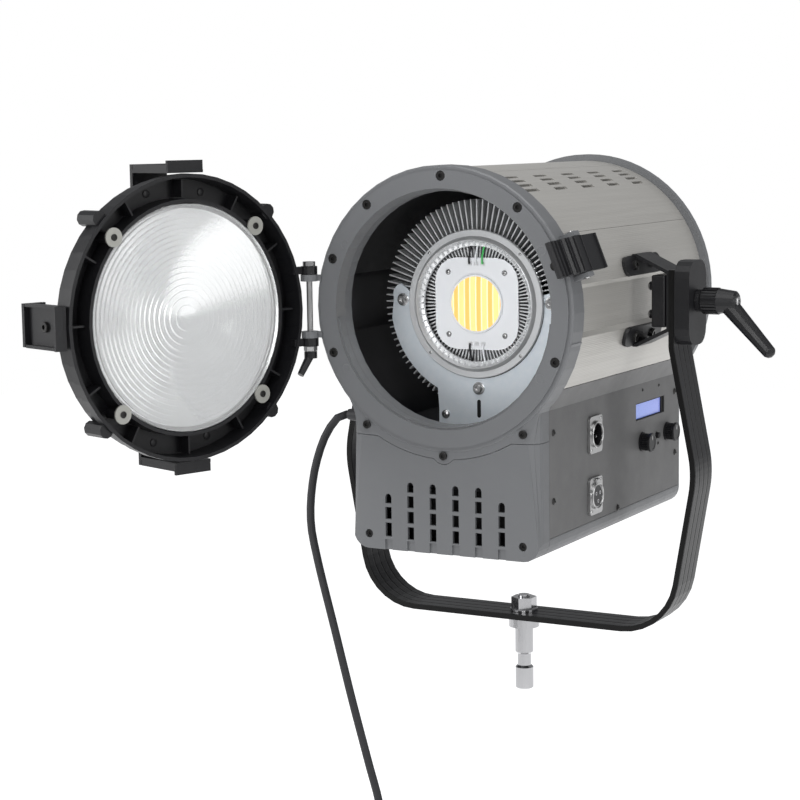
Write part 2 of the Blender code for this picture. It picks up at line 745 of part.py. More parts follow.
def make_fan(plastic):
    frame = front_frame(BARREL_END)
    outline = rounded_box(0.1190, 0.1190, 0.0060)
    housing = plate("fan_frame", [outline, arc(0.0562, 0, 360, 32)[:-1]], 0.0, 0.0250, frame, plastic)
    spider = rod("fan_hub", (0, 0, 0.0005), (0, 0, 0.0060), 0.0200, plastic, 24, frame=frame)
    arms = boxes("fan_arm", [((-0.0580, -0.0020, 0.0010), (0.0580, 0.0020, 0.0040))], plastic, frame)
    uprights = boxes("fan_upright", [((-0.0020, -0.0580, 0.0012), (0.0020, 0.0580, 0.0038))], plastic, frame)
    join(spider, arms, uprights)
    join(housing, settle(spider))
    settle(housing)
    rotor = rod("fan_rotor", (0, 0, 0.0064), (0, 0, 0.0230), 0.0195, plastic, 24, frame=frame)
    for blade in range(7):
        turn = Matrix.Rotation(2 * math.pi * blade / 7, 4, "Z") @ Matrix.Translation((0.0350, 0, 0.0145))
        pitch = Matrix.Rotation(math.radians(38), 4, "X")
        corner = Vector((0.0185, 0.0100, 0.0007))
        join(rotor, box("fan_blade", -corner, corner, plastic, 0.0, frame @ turn @ pitch))
    rotor = settle(rotor)
    hang_on(add_pivot("fan_turn", light(0, BARREL_END, 0)), [rotor])


# Tilt brackets, yoke and spigot

def make_tilt_bracket(side, sign, steel, plastic):
    hat = [(0.1075, 0.0368), (0.1090, 0.0385), (0.1125, 0.0385), (0.1418, 0.0245), (0.1418, -0.0245),
           (0.1125, -0.0385), (0.1090, -0.0385), (0.1075, -0.0368), (0.1107, -0.0362), (0.1388, -0.0226),
           (0.1388, 0.0226), (0.1107, 0.0362)]
    outline = [(sign * x, z) for x, z in hat]
    bracket = plate("tilt_bracket_" + side, [outline], -0.0165, 0.0165, front_frame(PIVOT_BACK), steel)
    for tilt in (14.7, -14.7):
        angle = tilt if sign > 0 else 180 - tilt
        frame = tangent_frame(0.11335, angle, PIVOT_BACK)
        join(bracket, plate("bracket_wing", [rounded_box(0.0780, 0.0166, 0.0078)], 0.0, 0.0030, frame, steel))
    stud_hole = ((sign * 0.120, PIVOT_BACK, 0), (sign * 0.150, PIVOT_BACK, 0))
    cut(bracket, rod("bracket_bore", *stud_hole, STUD_HOLE_R, steel, 20))
    settle(bracket)
    low, high = sorted((sign * 0.1262, sign * 0.1385))
    corner = (0.0185, 0.0215)
    block = box("clamp_block_" + side, (low, PIVOT_BACK - corner[0], -corner[1]),
                (high, PIVOT_BACK + corner[0], corner[1]), plastic, 0.0015)
    cut(block, rod("block_bore", *stud_hole, STUD_HOLE_R, plastic, 20))
    for z in (0.0117, -0.0117):
        head = ((sign * 0.1270, PIVOT_BACK - 0.0060, z), (sign * 0.1212, PIVOT_BACK - 0.0060, z))
        join(block, rod("clamp_bolt", *head, 0.0050, plastic, 14, end_radius=0.0036))
    settle(block)


def fillet_path(corners, steps=7):
    """A path through corners of (x, z, radius), with an arc of that radius at each corner."""
    path = [Vector(corners[0][:2])]
    for before, corner, after in zip(corners, corners[1:], corners[2:]):
        here = Vector(corner[:2])
        back = (Vector(before[:2]) - here).normalized()
        ahead = (Vector(after[:2]) - here).normalized()
        half = back.angle(ahead) / 2
        start = here + back * corner[2] / math.tan(half)
        centre = here + (back + ahead).normalized() * corner[2] / math.sin(half)
        spoke = start - centre
        turn = math.pi - 2 * half
        sign = 1 if back.x * ahead.y - back.y * ahead.x < 0 else -1
        for step in range(steps + 1):
            angle = sign * turn * step / steps
            c, s = math.cos(angle), math.sin(angle)
            path.append(centre + Vector((c * spoke.x - s * spoke.y, s * spoke.x + c * spoke.y)))
    path.append(Vector(corners[-1][:2]))
    return path


def offset_path(path, distance):
    """A path beside another one, to its right."""
    beside = []
    for index, point in enumerate(path):
        before, after = path[max(index - 1, 0)], path[min(index + 1, len(path) - 1)]
        along = (after - before).normalized()
        beside.append(point + Vector((along.y, -along.x)) * distance)
    return beside


def yoke_path():
    right = [(ARM_X, ARM_TOP_Z, 0.0), (ARM_X, -0.0380, 0.0300), (0.1649, -0.1430, 0.0900), (0.1412, BAR_Z, 0.0500)]
    left = [(-x, z, radius) for x, z, radius in reversed(right)]
    return fillet_path(right + left)


def make_yoke(paint_black):
    path = yoke_path()
    outer, inner = offset_path(path, -BAR_THICK / 2), offset_path(path, BAR_THICK / 2)
    outline = [tuple(p) for p in outer] + [tuple(p) for p in reversed(inner)]
    half = BAR_WIDTH / 2
    yoke = plate("yoke_frame", [outline], -half, half, front_frame(PIVOT_BACK), paint_black)
    across = ((-0.18, PIVOT_BACK, 0), (0.18, PIVOT_BACK, 0))
    cut(yoke, rod("yoke_bore", *across, STUD_HOLE_R, paint_black, 20))
    below = ((0, PIVOT_BACK, BAR_Z - 0.01), (0, PIVOT_BACK, BAR_Z + 0.01))
    cut(yoke, rod("spigot_bore", *below, 0.0055, paint_black, 20))
    settle(yoke)
    for side, sign in (("right", 1), ("left", -1)):
        frame = side_frame(0.0, PIVOT_BACK, -0.0015)
        low, high = sorted((sign * CAP_IN, sign * CAP_OUT))
        cap = plate("arm_cap_" + side, [rounded_box(BAR_WIDTH, 0.0700, 0.0140, 4)], low, high, frame, paint_black)
        cut(cap, rod("cap_bore", *across, STUD_HOLE_R, paint_black, 20))
        settle(cap)


def make_spigot(chrome):
    bar_low = BAR_Z - BAR_THICK / 2 - GAP
    bar_high = BAR_Z + BAR_THICK / 2 + GAP
    top = AXIS_Z + bar_low
    profile = [(0.0, AXIS_Z + bar_high + 0.0140), (0.0050, AXIS_Z + bar_high + 0.0140), (0.0050, top),
               (SPIGOT_FLANGE_R, top), (SPIGOT_FLANGE_R, top - 0.0090), (SPIGOT_R, top - 0.0095),
               (SPIGOT_R, 0.0330), (0.0060, 0.0310), (0.0060, 0.0210), (SPIGOT_R, 0.0190),
               (SPIGOT_R, 0.0010), (0.0070, 0.0), (0.0, 0.0)]
    turned("spigot", profile, Matrix.Identity(4), chrome, steps=20, closed=False)
    nut = rod("spigot_nut", (0, PIVOT_BACK, bar_high + 0.0015), (0, PIVOT_BACK, bar_high + 0.0120), 0.0112, chrome, 6)
    washer = rod("nut_washer", (0, PIVOT_BACK, bar_high), (0, PIVOT_BACK, bar_high + 0.0020), 0.0120, chrome, 24)
    join(nut, washer)
    cut(nut, rod("nut_bore", (0, PIVOT_BACK, bar_high - 0.01), (0, PIVOT_BACK, bar_high + 0.03), 0.0053, chrome, 20))
    settle(nut)


def make_tilt_lever(plastic, steel):
    frame = side_frame(0.0, PIVOT_BACK, 0.0)
    profile = [(0.0, 0.1948), (0.0070, 0.1945), (0.0086, 0.1930), (0.0105, 0.1790), (0.0105, 0.1655),
               (0.0092, 0.1640), (0.0092, CAP_OUT + GAP), (0.0, CAP_OUT + GAP)]
    lever = turned("tilt_lever", profile, frame, plastic, steps=18, closed=False)
    arm = rod("lever_arm", (0, -0.0020, 0.1860), (0, -0.0400, 0.2210), 0.0080, plastic, 12, 0.0056, frame)
    tip = bmesh.new()
    bmesh.ops.create_uvsphere(tip, u_segments=10, v_segments=6, radius=0.0057,
                              matrix=frame @ Matrix.Translation((0, -0.0398, 0.2208)))
    join(lever, arm, add_part("lever_tip", mesh_from(tip, "lever_tip"), plastic))
    stud = rod("tilt_stud", (0, 0, 0.1280), (0, 0, 0.1700), STUD_R, steel, 16, frame=frame)
    join(lever, stud)
    hang_on(add_pivot("tilt_lock_turn", light(CAP_OUT, PIVOT_BACK, 0)), [settle(lever)])
    start, end = (-0.1280, PIVOT_BACK, 0), (-CAP_OUT - 0.0020, PIVOT_BACK, 0)
    bolt = rod("tilt_bolt_left", start, end, STUD_R, steel, 16)
    head = rod("tilt_bolt_head", (-CAP_OUT - GAP, PIVOT_BACK, 0), (-CAP_OUT - 0.0080, PIVOT_BACK, 0), 0.0105, steel, 6)
    join(bolt, head)
    settle(bolt)


# Hinge and lens door

def make_hinge(steel, black):
    axis = (HINGE_X, HINGE_Y)
    pin = rod("hinge_pin", (*axis, -0.0372), (*axis, 0.0345), PIN_R, steel, 14)
    join(pin, rod("hinge_pin_head", (*axis, 0.0333), (*axis, 0.0368), 0.0052, steel, 14))
    join(pin, rod("hinge_nut", (*axis, -0.0333), (*axis, -0.0369), 0.0056, steel, 6))
    settle(pin)
    lever = rod("hinge_lever", (*axis, -0.0375), (*axis, -0.0430), 0.0054, black, 16)
    tip = (HINGE_X - 0.0030, HINGE_Y - 0.0120, -0.0560)
    join(lever, rod("hinge_lever_arm", (*axis, -0.0400), tip, 0.0036, black, 12, end_radius=0.0028))
    hang_on(add_pivot("hinge_lock_turn", light(*axis, 0)), [settle(lever)])


def door_frame():
    return Matrix.Translation(light(0, 0, DOOR_DROP)) @ UP_FRONT


def make_door_ring(black):
    frame = door_frame()
    profile = [(0.1060, 0.0260), (0.1108, 0.0212), (0.1108, 0.0092), (DOOR_R, 0.0088), (DOOR_R, 0.0006),
               (0.1103, 0.0006), (0.1093, 0.0200), (0.0938, 0.0200), (0.0934, 0.0030), (0.0906, 0.0030),
               (0.0906, 0.0124), (0.0862, 0.0124), (0.0862, 0.0160), (0.0900, 0.0260)]
    ring = turned("door_ring", profile, frame, black, steps=RING_STEPS)
    for number in range(4):
        x, y = polar(CLAMP_R, 43.6 + 90 * number)
        boss = rod("clamp_boss", (x, y, 0.0027), (x, y, 0.0210), 0.0047, black, 10, frame=frame)
        join(ring, boss)
        turn = Matrix.Rotation(math.radians(45 + 90 * number), 4, "Z")
        join(ring, rod("rim_lug", (0.1145, 0, 0.0030), (0.1145, 0, 0.0250), 0.0062, black, 10, frame=frame @ turn))
    ring = settle(ring)
    for side in (1, -1):
        low, high = sorted((side * 0.0264, side * 0.0330))
        lug = rod("door_lug", (HINGE_X, HINGE_Y, low), (HINGE_X, HINGE_Y, high), 0.0068, black, 14)
        join(ring, lug, box("door_lug_arm", (HINGE_X, -0.0076, low + GAP), (-0.1050, -0.0014, high - GAP), black))
    cut(ring, rod("door_hinge_bore", (HINGE_X, HINGE_Y, -0.05), (HINGE_X, HINGE_Y, 0.05), PIN_HOLE_R, black, 14))
    return settle(ring)


def make_lens(glass):
    """The lens with its outer envelope only: flat towards the lamp and slightly domed outside."""
    edge = LENS_R - 0.0004
    profile = [(0.0, 0.0118), (0.0450, 0.0112), (0.0840, 0.0098), (edge, 0.0098), (edge, 0.0028), (0.0, 0.0028)]
    return turned("fresnel_lens", profile, door_frame(), glass, steps=RING_STEPS, closed=False)


def make_lens_clamp(number, steel):
    x, y = polar(CLAMP_R, 43.6 + 90 * number)
    frame = door_frame()
    return rod("lens_clamp_{}".format(number + 1), (x, y, 0.0010), (x, y, 0.0025), 0.0075, steel, 24, frame=frame)


def make_accessory_clip(name, degrees, black):
    """A tray screwed to the door's rim, open outwards, whose front end hooks inwards."""
    frame = Matrix.Translation((0, 0, DOOR_DROP)) @ tangent_frame(0.0, degrees, 0.0)
    clip = box(name, (-0.0520, -0.0170, 0.1137), (-0.0030, 0.0170, 0.1163), black, 0.0, frame)
    walls = [
        ((-0.0056, -0.0169, 0.1140), (-0.0031, 0.0169, 0.1235)),
        ((-0.0500, 0.0146, 0.1140), (-0.0040, 0.0171, 0.1205)),
        ((-0.0500, -0.0171, 0.1140), (-0.0040, -0.0146, 0.1205)),
        ((-0.0545, -0.0168, 0.1010), (-0.0510, 0.0168, 0.1205)),
    ]
    for low, high in walls:
        join(clip, box("clip_wall", low, high, black, 0.0, frame))
    return settle(clip)


def make_door(black, glass, steel):
    hinge = add_pivot("door_hinge", light(HINGE_X, HINGE_Y, 0))
    pieces = [make_door_ring(black), make_lens(glass)]
    pieces += [make_lens_clamp(number, steel) for number in range(4)]
    for name, degrees in (("clip_top", 90), ("clip_far", 0), ("clip_bottom", -90)):
        pieces.append(make_accessory_clip(name, degrees, black))
    hang_on(hinge, pieces)
    hinge.rotation_euler = (0.0, 0.0, -math.radians(DOOR_OPEN))


def make_latch(black, steel):
    frame = latch_frame()
    outline = [(-0.0084, -0.0350), (-0.0050, -0.0356), (-0.0038, -0.0340), (-0.0030, -0.0260),
               (-0.0018, -0.0252), (-0.0010, -0.0200), (0.0014, -0.0190), (0.0022, -0.0120), (0.0044, -0.0110),
               (0.0052, 0.0020), (0.0044, 0.0060), (0.0066, 0.0280), (0.0040, 0.0290), (0.0004, 0.0080),
               (-0.0036, 0.0040), (-0.0036, -0.0060), (-0.0052, -0.0120), (-0.0052, -0.0256), (-0.0084, -0.0256)]
    latch = plate("latch_plate", [outline], -0.0145, 0.0145, frame, black)
    cut(latch, rod("latch_plate_bore", (0, 0, -0.03), (0, 0, 0.03), 0.0018, black, 10, frame=frame))
    latch = settle(latch)
    rod("latch_pin", (0, 0, -0.0195), (0, 0, 0.0195), 0.0015, steel, 10, frame=frame)
    x, z = polar(LATCH_PIVOT_R, LATCH_ANGLE)
    hang_on(add_pivot("latch_turn", light(x, LATCH_PIVOT_Y, z)), [latch])


# Power cord

def make_gland(black):
    frame = side_frame(0.0, GLAND_Y, GLAND_Z, side=-1)
    profile = [(0.0, -GLAND_END_X), (0.0046, -GLAND_END_X), (0.0066, 0.0990), (0.0084, 0.0985),
               (0.0090, 0.0960), (0.0090, 0.0900), (0.0110, 0.0895), (0.0110, BOX_HALF + GAP), (0.0, BOX_HALF + GAP)]
    turned("cable_gland", profile, frame, black, steps=14, closed=False)


def smooth_route(points, spacing):
    """Points at even steps along a smooth curve through the given ones."""
    points = [Vector(p) for p in points]
    ends = [2 * points[0] - points[1]] + points + [2 * points[-1] - points[-2]]
    fine = []
    for a, b, c, d in zip(ends, ends[1:], ends[2:], ends[3:]):
        for step in range(20):
            t = step / 20
            fine.append(0.5 * (2 * b + (c - a) * t + (2 * a - 5 * b + 4 * c - d) * t * t
                               + (3 * b - a - 3 * c + d) * t * t * t))
    fine.append(points[-1])
    lengths = [0.0]
    for before, after in zip(fine, fine[1:]):
        lengths.append(lengths[-1] + (after - before).length)
    count = max(2, round(lengths[-1] / spacing))
    route, index = [], 0
    for number in range(count + 1):
        target = lengths[-1] * number / count
        while index < len(fine) - 2 and lengths[index + 1] < target:
            index += 1
        span = lengths[index + 1] - lengths[index]
        route.append(fine[index].lerp(fine[index + 1], (target - lengths[index]) / span))
    return route


def make_tube(name, route, radius, material):
    curve = bpy.data.curves.new(name, "CURVE")
    curve.dimensions = "3D"
    curve.bevel_depth = radius
    curve.bevel_resolution = 2
    curve.use_fill_caps = True
    spline = curve.splines.new("POLY")
    spline.points.add(len(route) - 1)
    for point, place in zip(spline.points, route):
        point.co = (*place, 1.0)
    obj = bpy.data.objects.new(name, curve)
    parts.objects.link(obj)
    bpy.context.view_layer.update()
    tube = evaluated(obj)
    bpy.data.curves.remove(curve)
    return add_part(name, mesh_from(tube, name), material)


def make_power_cord(black):
    """The length that hangs from the gland, before the coil."""
    places = [
        (GLAND_END_X - CORD_GAP, GLAND_Y, GLAND_Z),
        (-0.1210, 0.0500, -0.0967),
        (-0.1292, 0.0485, -0.1030),
        (-0.1395, 0.0455, -0.1220),
        (-0.1470, 0.0420, -0.1520),
        (-0.1480, 0.0380, -0.1875),
        (-0.1395, 0.0340, -0.2210),
        (-0.1200, 0.0280, -0.2795),
        (-0.1020, 0.0240, -0.3375),
        (-0.0860, 0.0215, -0.3880),
        (-0.0735, 0.0200, -0.4300),
        (COIL_X - COIL_R, COIL_Y, COIL_Z + 0.0310),
    ]
    make_tube("power_cord", smooth_route([light(*place) for place in places], 0.0130), CORD_R, black)


def make_coil_and_plug(black, plastic, brass):
    """Turns of spare cord as one ring about the Y axis, and the plug that hangs from the last turn."""
    frame = Matrix.Translation(light(COIL_X, COIL_Y, COIL_Z)) @ UP_FRONT
    layer, width = 2 * CORD_R + 0.0002, 3 * CORD_R + 0.0003
    inner, outer, chamfer = COIL_R - layer, COIL_R + layer, 0.0020
    profile = [(outer - chamfer, width), (outer, width - chamfer), (outer, -width + chamfer),
               (outer - chamfer, -width), (inner + chamfer, -width), (inner, -width + chamfer),
               (inner, width - chamfer), (inner + chamfer, width)]
    turned("cord_coil", profile, frame, black, steps=24)
    top = COIL_Z - outer + 0.0020
    x = COIL_X - COIL_R - 0.0040
    plug = rod("power_plug", (x, COIL_Y, top), (x, COIL_Y, top - 0.0140), 0.0060, plastic, 16, end_radius=0.0115)
    body = box("plug_body", (x - 0.0125, COIL_Y - 0.0085, top - 0.0420), (x + 0.0125, COIL_Y + 0.0085, top - 0.0135),
               plastic, 0.0030)
    join(plug, body)
    for side in (1, -1):
        start = (x + side * 0.0070, COIL_Y, top - 0.0400)
        join(plug, rod("plug_pin", start, (start[0], COIL_Y, top - 0.0600), 0.0022, brass, 12))
    settle(plug)


def build():
    clear_scene()
    grey = paint("grey_paint", (0.120, 0.123, 0.128), 0.50)
    silver = paint("silver_barrel", (0.60, 0.59, 0.56), 0.42, 0.6)
    black = paint("black_paint", (0.016, 0.016, 0.018), 0.50)
    plastic = paint("black_plastic", (0.014, 0.014, 0.015), 0.45)
    rubber = paint("black_rubber", (0.018, 0.018, 0.020), 0.65)
    steel = paint("zinc_steel", (0.55, 0.55, 0.56), 0.35, 1.0)
    chrome = paint("chrome", (0.80, 0.80, 0.82), 0.12, 1.0)
    aluminium = paint("aluminium", (0.70, 0.71, 0.72), 0.40, 1.0)
    glass = paint("lens_glass", (0.85, 0.88, 0.90), 0.08)
    screen = paint("display_glass", (0.25, 0.32, 0.60), 0.10)
    white = paint("board_white", (0.80, 0.80, 0.78), 0.45)
    phosphor = paint("phosphor_yellow", (0.85, 0.65, 0.10), 0.40)
    make_front_casting(grey)
    make_lower_front_cover(grey)
    make_barrel(silver)
    make_rear_flange(grey)
    make_control_panel(grey)
    make_box_shell(grey)
    make_power_supply(plastic)
    make_display(screen)
    make_socket("signal_socket_in", SOCKET_IN_Z, steel, is_inlet=True)
    make_socket("signal_socket_out", SOCKET_OUT_Z, steel, is_inlet=False)
    make_socket_catch(steel)
    make_focus_drive(plastic, steel)
    make_dimmer(plastic)
    make_menu_button(plastic)
    make_led_engine(aluminium, chrome, white, phosphor, steel, steel)
    make_guide_rods(steel)
    make_fan(plastic)
    make_tilt_bracket("right", 1, black, plastic)
    make_tilt_bracket("left", -1, black, plastic)
    make_yoke(black)
    make_spigot(chrome)
    make_tilt_lever(plastic, steel)
    make_hinge(steel, plastic)
    make_door(black, glass, chrome)
    make_latch(black, steel)
    make_gland(rubber)
    make_power_cord(rubber)
    make_coil_and_plug(rubber, plastic, steel)


build()
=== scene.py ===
"""The looks of a fresnel spotlight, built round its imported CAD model.

Metres, +Z up. The light points along -Y and its control panel faces +X. light(x, y, z) gives a world
place from the centre of the casting's front face, with y backwards along the light's axis.
"""
import json
import math

import bmesh
import bpy
from mathutils import Matrix, Vector


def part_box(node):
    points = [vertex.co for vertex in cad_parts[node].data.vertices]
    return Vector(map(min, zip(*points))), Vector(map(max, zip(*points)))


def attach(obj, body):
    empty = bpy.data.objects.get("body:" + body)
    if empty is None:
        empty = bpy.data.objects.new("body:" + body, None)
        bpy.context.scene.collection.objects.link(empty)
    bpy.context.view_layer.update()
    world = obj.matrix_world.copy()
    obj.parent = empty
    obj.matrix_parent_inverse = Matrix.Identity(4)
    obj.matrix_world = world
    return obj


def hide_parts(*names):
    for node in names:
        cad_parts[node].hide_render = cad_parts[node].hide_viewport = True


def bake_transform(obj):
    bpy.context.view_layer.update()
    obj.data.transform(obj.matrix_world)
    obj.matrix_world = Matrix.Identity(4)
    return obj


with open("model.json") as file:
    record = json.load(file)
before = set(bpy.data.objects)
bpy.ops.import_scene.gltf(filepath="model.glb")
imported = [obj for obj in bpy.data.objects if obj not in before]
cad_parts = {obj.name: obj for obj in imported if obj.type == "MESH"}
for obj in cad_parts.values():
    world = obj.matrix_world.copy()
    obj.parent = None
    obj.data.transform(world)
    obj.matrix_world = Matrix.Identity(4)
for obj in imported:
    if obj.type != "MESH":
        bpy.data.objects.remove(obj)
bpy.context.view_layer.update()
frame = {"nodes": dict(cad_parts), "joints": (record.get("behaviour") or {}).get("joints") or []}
JOINTS = {joint["name"]: joint for joint in frame["joints"]}

# Places along the light's axis, backwards from the casting's front face
ENGINE_BACK = 0.0620
FLANGE_END = 0.2973
BOX_END = 0.3050

# How far the control panel's node reaches past the flat face that carries the knobs
PANEL_OVERHANG = 0.0099

# Where the light stands, read from the frame
AXIS_Z = JOINTS["head_tilt"]["pos_m"][2]
FACE_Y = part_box("rear_flange")[1].y - FLANGE_END
PIVOT_BACK = JOINTS["head_tilt"]["pos_m"][1] - FACE_Y
BOX_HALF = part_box("control_panel")[1].x - PANEL_OVERHANG
BARREL_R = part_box("barrel_top")[1].z - AXIS_Z
HINGE = Vector(JOINTS["door_swing"]["pos_m"])
DOOR_CLOSED = JOINTS["door_swing"]["range_deg"][1]
DOOR_DROP = -0.0015

# Camera
CAMERA_PLACE = (0.7605, -1.6097, 0.4861)
CAMERA_AZIMUTH = 28.708
CAMERA_ELEVATION = 7.342
CAMERA_ROLL = -0.848
CAMERA_LENS = 93.07

# Power cord
CORD_R = 0.0035
COIL_R = 0.0380
COIL_TURNS = 6
CORD_STEP = 0.0105

# Pitches of the ribs, the grooves and the phosphor rows that materials make
RIB_PITCH = 0.0016
GROOVE_PITCH = 0.0100
ROW_PITCH = 0.0105

# Front casting: radii and angles on the ring's face, and (across, up, back) on the cover under it
FACE_SCREW_R = 0.1066
FACE_SCREW_ANGLES = (20.3, 50.2, 89.4, 128.4, 158.3, 200.7, 339.0)
FACE_CUP_R = 0.1010
FACE_CUP_ANGLES = (28.7, 149.7, 209.8, 329.4)
COVER_SCREWS = ((-0.0700, -0.0960, 0.0020), (0.0, -0.1180, 0.0020), (0.0710, -0.0965, 0.0020),
                (0.0699, -0.1868, 0.0056), (-0.0699, -0.1868, 0.0056))

# Control panel: (back, up) on its face
PANEL_SCREWS = ((0.0300, -0.0982), (0.0297, -0.1536), (0.1618, -0.1805), (0.2952, -0.0956), (0.2961, -0.1515))
SMALL_PANEL_SCREWS = ((0.2186, -0.0856), (0.2571, -0.0857), (0.2554, -0.1376))
FOCUS_KNOB = (0.2175, -0.1312)
DIMMER_KNOB = (0.2760, -0.1295)
DISPLAY_LOW = (0.2037, -0.1110)
DISPLAY_HIGH = (0.2703, -0.0964)
SOCKET_BACK = 0.1108
SOCKET_IN_Z = -0.1100
SOCKET_OUT_Z = -0.1616

# Screws at the rear, on the door, on the engine and on the tilt brackets
FAN_SCREW_R = 0.0668
CLAMP_SCREW_R = 0.0964
CLAMP_SCREW_ANGLE = 43.6
CLIP_SCREW_R = 0.1163
BOARD_FACE = -0.0022
CARRIER_FACE = -0.0011
WIRE_STEPS = ((0.0, 0.0, 0.0), (0.0004, 0.0040, 0.0014), (0.0012, 0.0090, 0.0012), (0.0018, 0.0140, 0.0002),
              (0.0020, 0.0170, -0.0010))
CARRIER_SCREWS = ((0.0680, 0.0020), (-0.0680, 0.0020), (0.0020, -0.0700))
BRACKET_FACE_R = 0.11635
BRACKET_SCREW_ANGLE = 14.7
BRACKET_SCREW_BACKS = (0.1315, 0.1685)
CLAMP_FACE_X = 0.1212
CLAMP_BOLT_Z = 0.0117

UP_FRONT = Matrix.Rotation(math.radians(90), 4, "X")
SMOOTH_ANGLE = math.radians(32)


# Places

def light(x, y, z):
    """A world place from the centre of the casting's front face."""
    return Vector((x, FACE_Y + y, AXIS_Z + z))


def polar(radius, degrees):
    angle = math.radians(degrees)
    return radius * math.cos(angle), radius * math.sin(angle)


def arc(radius, first, last, steps, centre=(0.0, 0.0)):
    points = []
    for step in range(steps + 1):
        x, z = polar(radius, first + (last - first) * step / steps)
        points.append((centre[0] + x, centre[1] + z))
    return points


def rounded_box(width, height, radius, steps=4):
    points = []
    for turn, (sx, sz) in enumerate(((1, 1), (-1, 1), (-1, -1), (1, -1))):
        centre = (sx * (width / 2 - radius), sz * (height / 2 - radius))
        points += arc(radius, 90 * turn, 90 * turn + 90, steps, centre)
    return points


def moved(place, x, y, z=0.0):
    return place @ Matrix.Translation((x, y, z))


def around(place, count, first=0.0):
    """The place turned about its Z axis at even steps."""
    turns = [math.radians(first + 360 * number / count) for number in range(count)]
    return [place @ Matrix.Rotation(turn, 4, "Z") for turn in turns]


def front_frame(back=0.0):
    """X right, Y up and Z out of the light's front."""
    return Matrix.Translation(light(0, back, 0)) @ UP_FRONT


def side_frame(x, y, z, side=1):
    """Z out of the light's side, Y up, and X backwards on the right."""
    turn = Matrix(((0, 0, side, 0), (side, 0, 0, 0), (0, 1, 0, 0), (0, 0, 0, 1)))
    return Matrix.Translation(light(x, y, z)) @ turn


def tangent_frame(radius, degrees, back):
    """Z outwards from the light's axis, X backwards and Y round the barrel."""
    x, z = polar(radius, degrees)
    s, c = math.sin(math.radians(degrees)), math.cos(math.radians(degrees))
    turn = Matrix(((0, -s, c, 0), (1, 0, 0, 0), (0, c, s, 0), (0, 0, 0, 1)))
    return Matrix.Translation(light(x, back, z)) @ turn


def door_frame():
    """The closed door's front frame, swung open about the hinge."""
    swing = Matrix.Rotation(-math.radians(DOOR_CLOSED), 4, "Z")
    about_hinge = Matrix.Translation(HINGE) @ swing @ Matrix.Translation(-HINGE)
    return about_hinge @ Matrix.Translation(light(0, 0, DOOR_DROP)) @ UP_FRONT


def door_tangent_frame(degrees):
    """Z outwards from the door's middle, X towards the closed light and Y round the ring."""
    closed = Matrix.Translation((0, 0, DOOR_DROP)) @ tangent_frame(0.0, degrees, 0.0)
    closed_front = Matrix.Translation(light(0, 0, DOOR_DROP)) @ UP_FRONT
    return door_frame() @ closed_front.inverted() @ closed


# Meshes

def make_object(bm, name, material):
    """A smooth object in the scene from a mesh in world places."""
    bmesh.ops.recalc_face_normals(bm, faces=bm.faces)
    mesh = bpy.data.meshes.new(name)
    bm.to_mesh(mesh)
    bm.free()
    mesh.materials.append(material)
    mesh.shade_smooth()
    obj = bpy.data.objects.new(name, mesh)
    bpy.context.scene.collection.objects.link(obj)
    return obj


def finish_piece(bm, name, material, body, bevel=0.0):
    """Makes an object that keeps its sharp edges, or has them softened, and lets it ride on a body."""
    obj = make_object(bm, name, material)
    obj.data.set_sharp_from_angle(angle=SMOOTH_ANGLE)
    if bevel:
        add_bevel(obj, bevel)
    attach(obj, body)
    return obj


def add_bevel(obj, width):
    bevel = obj.modifiers.new("soft_edges", "BEVEL")
    bevel.width = width
    bevel.segments = 2
    bevel.limit_method = "ANGLE"
    bevel.angle_limit = math.radians(40)
    bevel.harden_normals = True


def add_box(bm, low, high, place):
    low, high = Vector(low), Vector(high)
    size = Matrix.Diagonal((*(high - low), 1.0))
    bmesh.ops.create_cube(bm, size=1.0, matrix=place @ Matrix.Translation((low + high) / 2) @ size)


def add_rod(bm, start, end, radius, place, segments=24, end_radius=None):
    start, end = Vector(start), Vector(end)
    along = end - start
    turn = along.to_track_quat("Z", "Y").to_matrix().to_4x4()
    bmesh.ops.create_cone(
        bm,
        cap_ends=True,
        segments=segments,
        radius1=radius,
        radius2=radius if end_radius is None else end_radius,
        depth=along.length,
        matrix=place @ Matrix.Translation((start + end) / 2) @ turn,
    )


def add_turned(bm, profile, place, steps=96, closed=False):
    """Turns a profile of (radius, height) about the place's Z axis."""
    rings = []
    for radius, height in profile:
        if radius < 1e-6:
            rings.append([bm.verts.new(place @ Vector((0, 0, height)))])
            continue
        ring = []
        for step in range(steps):
            x, y = polar(radius, 360 * step / steps)
            ring.append(bm.verts.new(place @ Vector((x, y, height))))
        rings.append(ring)
    pairs = list(zip(rings, rings[1:]))
    if closed:
        pairs.append((rings[-1], rings[0]))
    for lower, upper in pairs:
        for step in range(steps):
            after = (step + 1) % steps
            if len(lower) == 1:
                bm.faces.new((lower[0], upper[step], upper[after]))
            elif len(upper) == 1:
                bm.faces.new((lower[step], upper[0], lower[after]))
            else:
                bm.faces.new((lower[step], lower[after], upper[after], upper[step]))


def add_prism(bm, loop, low, high, place):
    """A flat outline in the place's XY plane, thick from low to high along its Z."""
    under = [bm.verts.new(place @ Vector((x, y, low))) for x, y in loop]
    over = [bm.verts.new(place @ Vector((x, y, high))) for x, y in loop]
    bm.faces.new(under)
    bm.faces.new(over)
    for index in range(len(loop)):
        after = (index + 1) % len(loop)
        bm.faces.new((under[index], under[after], over[after], over[index]))


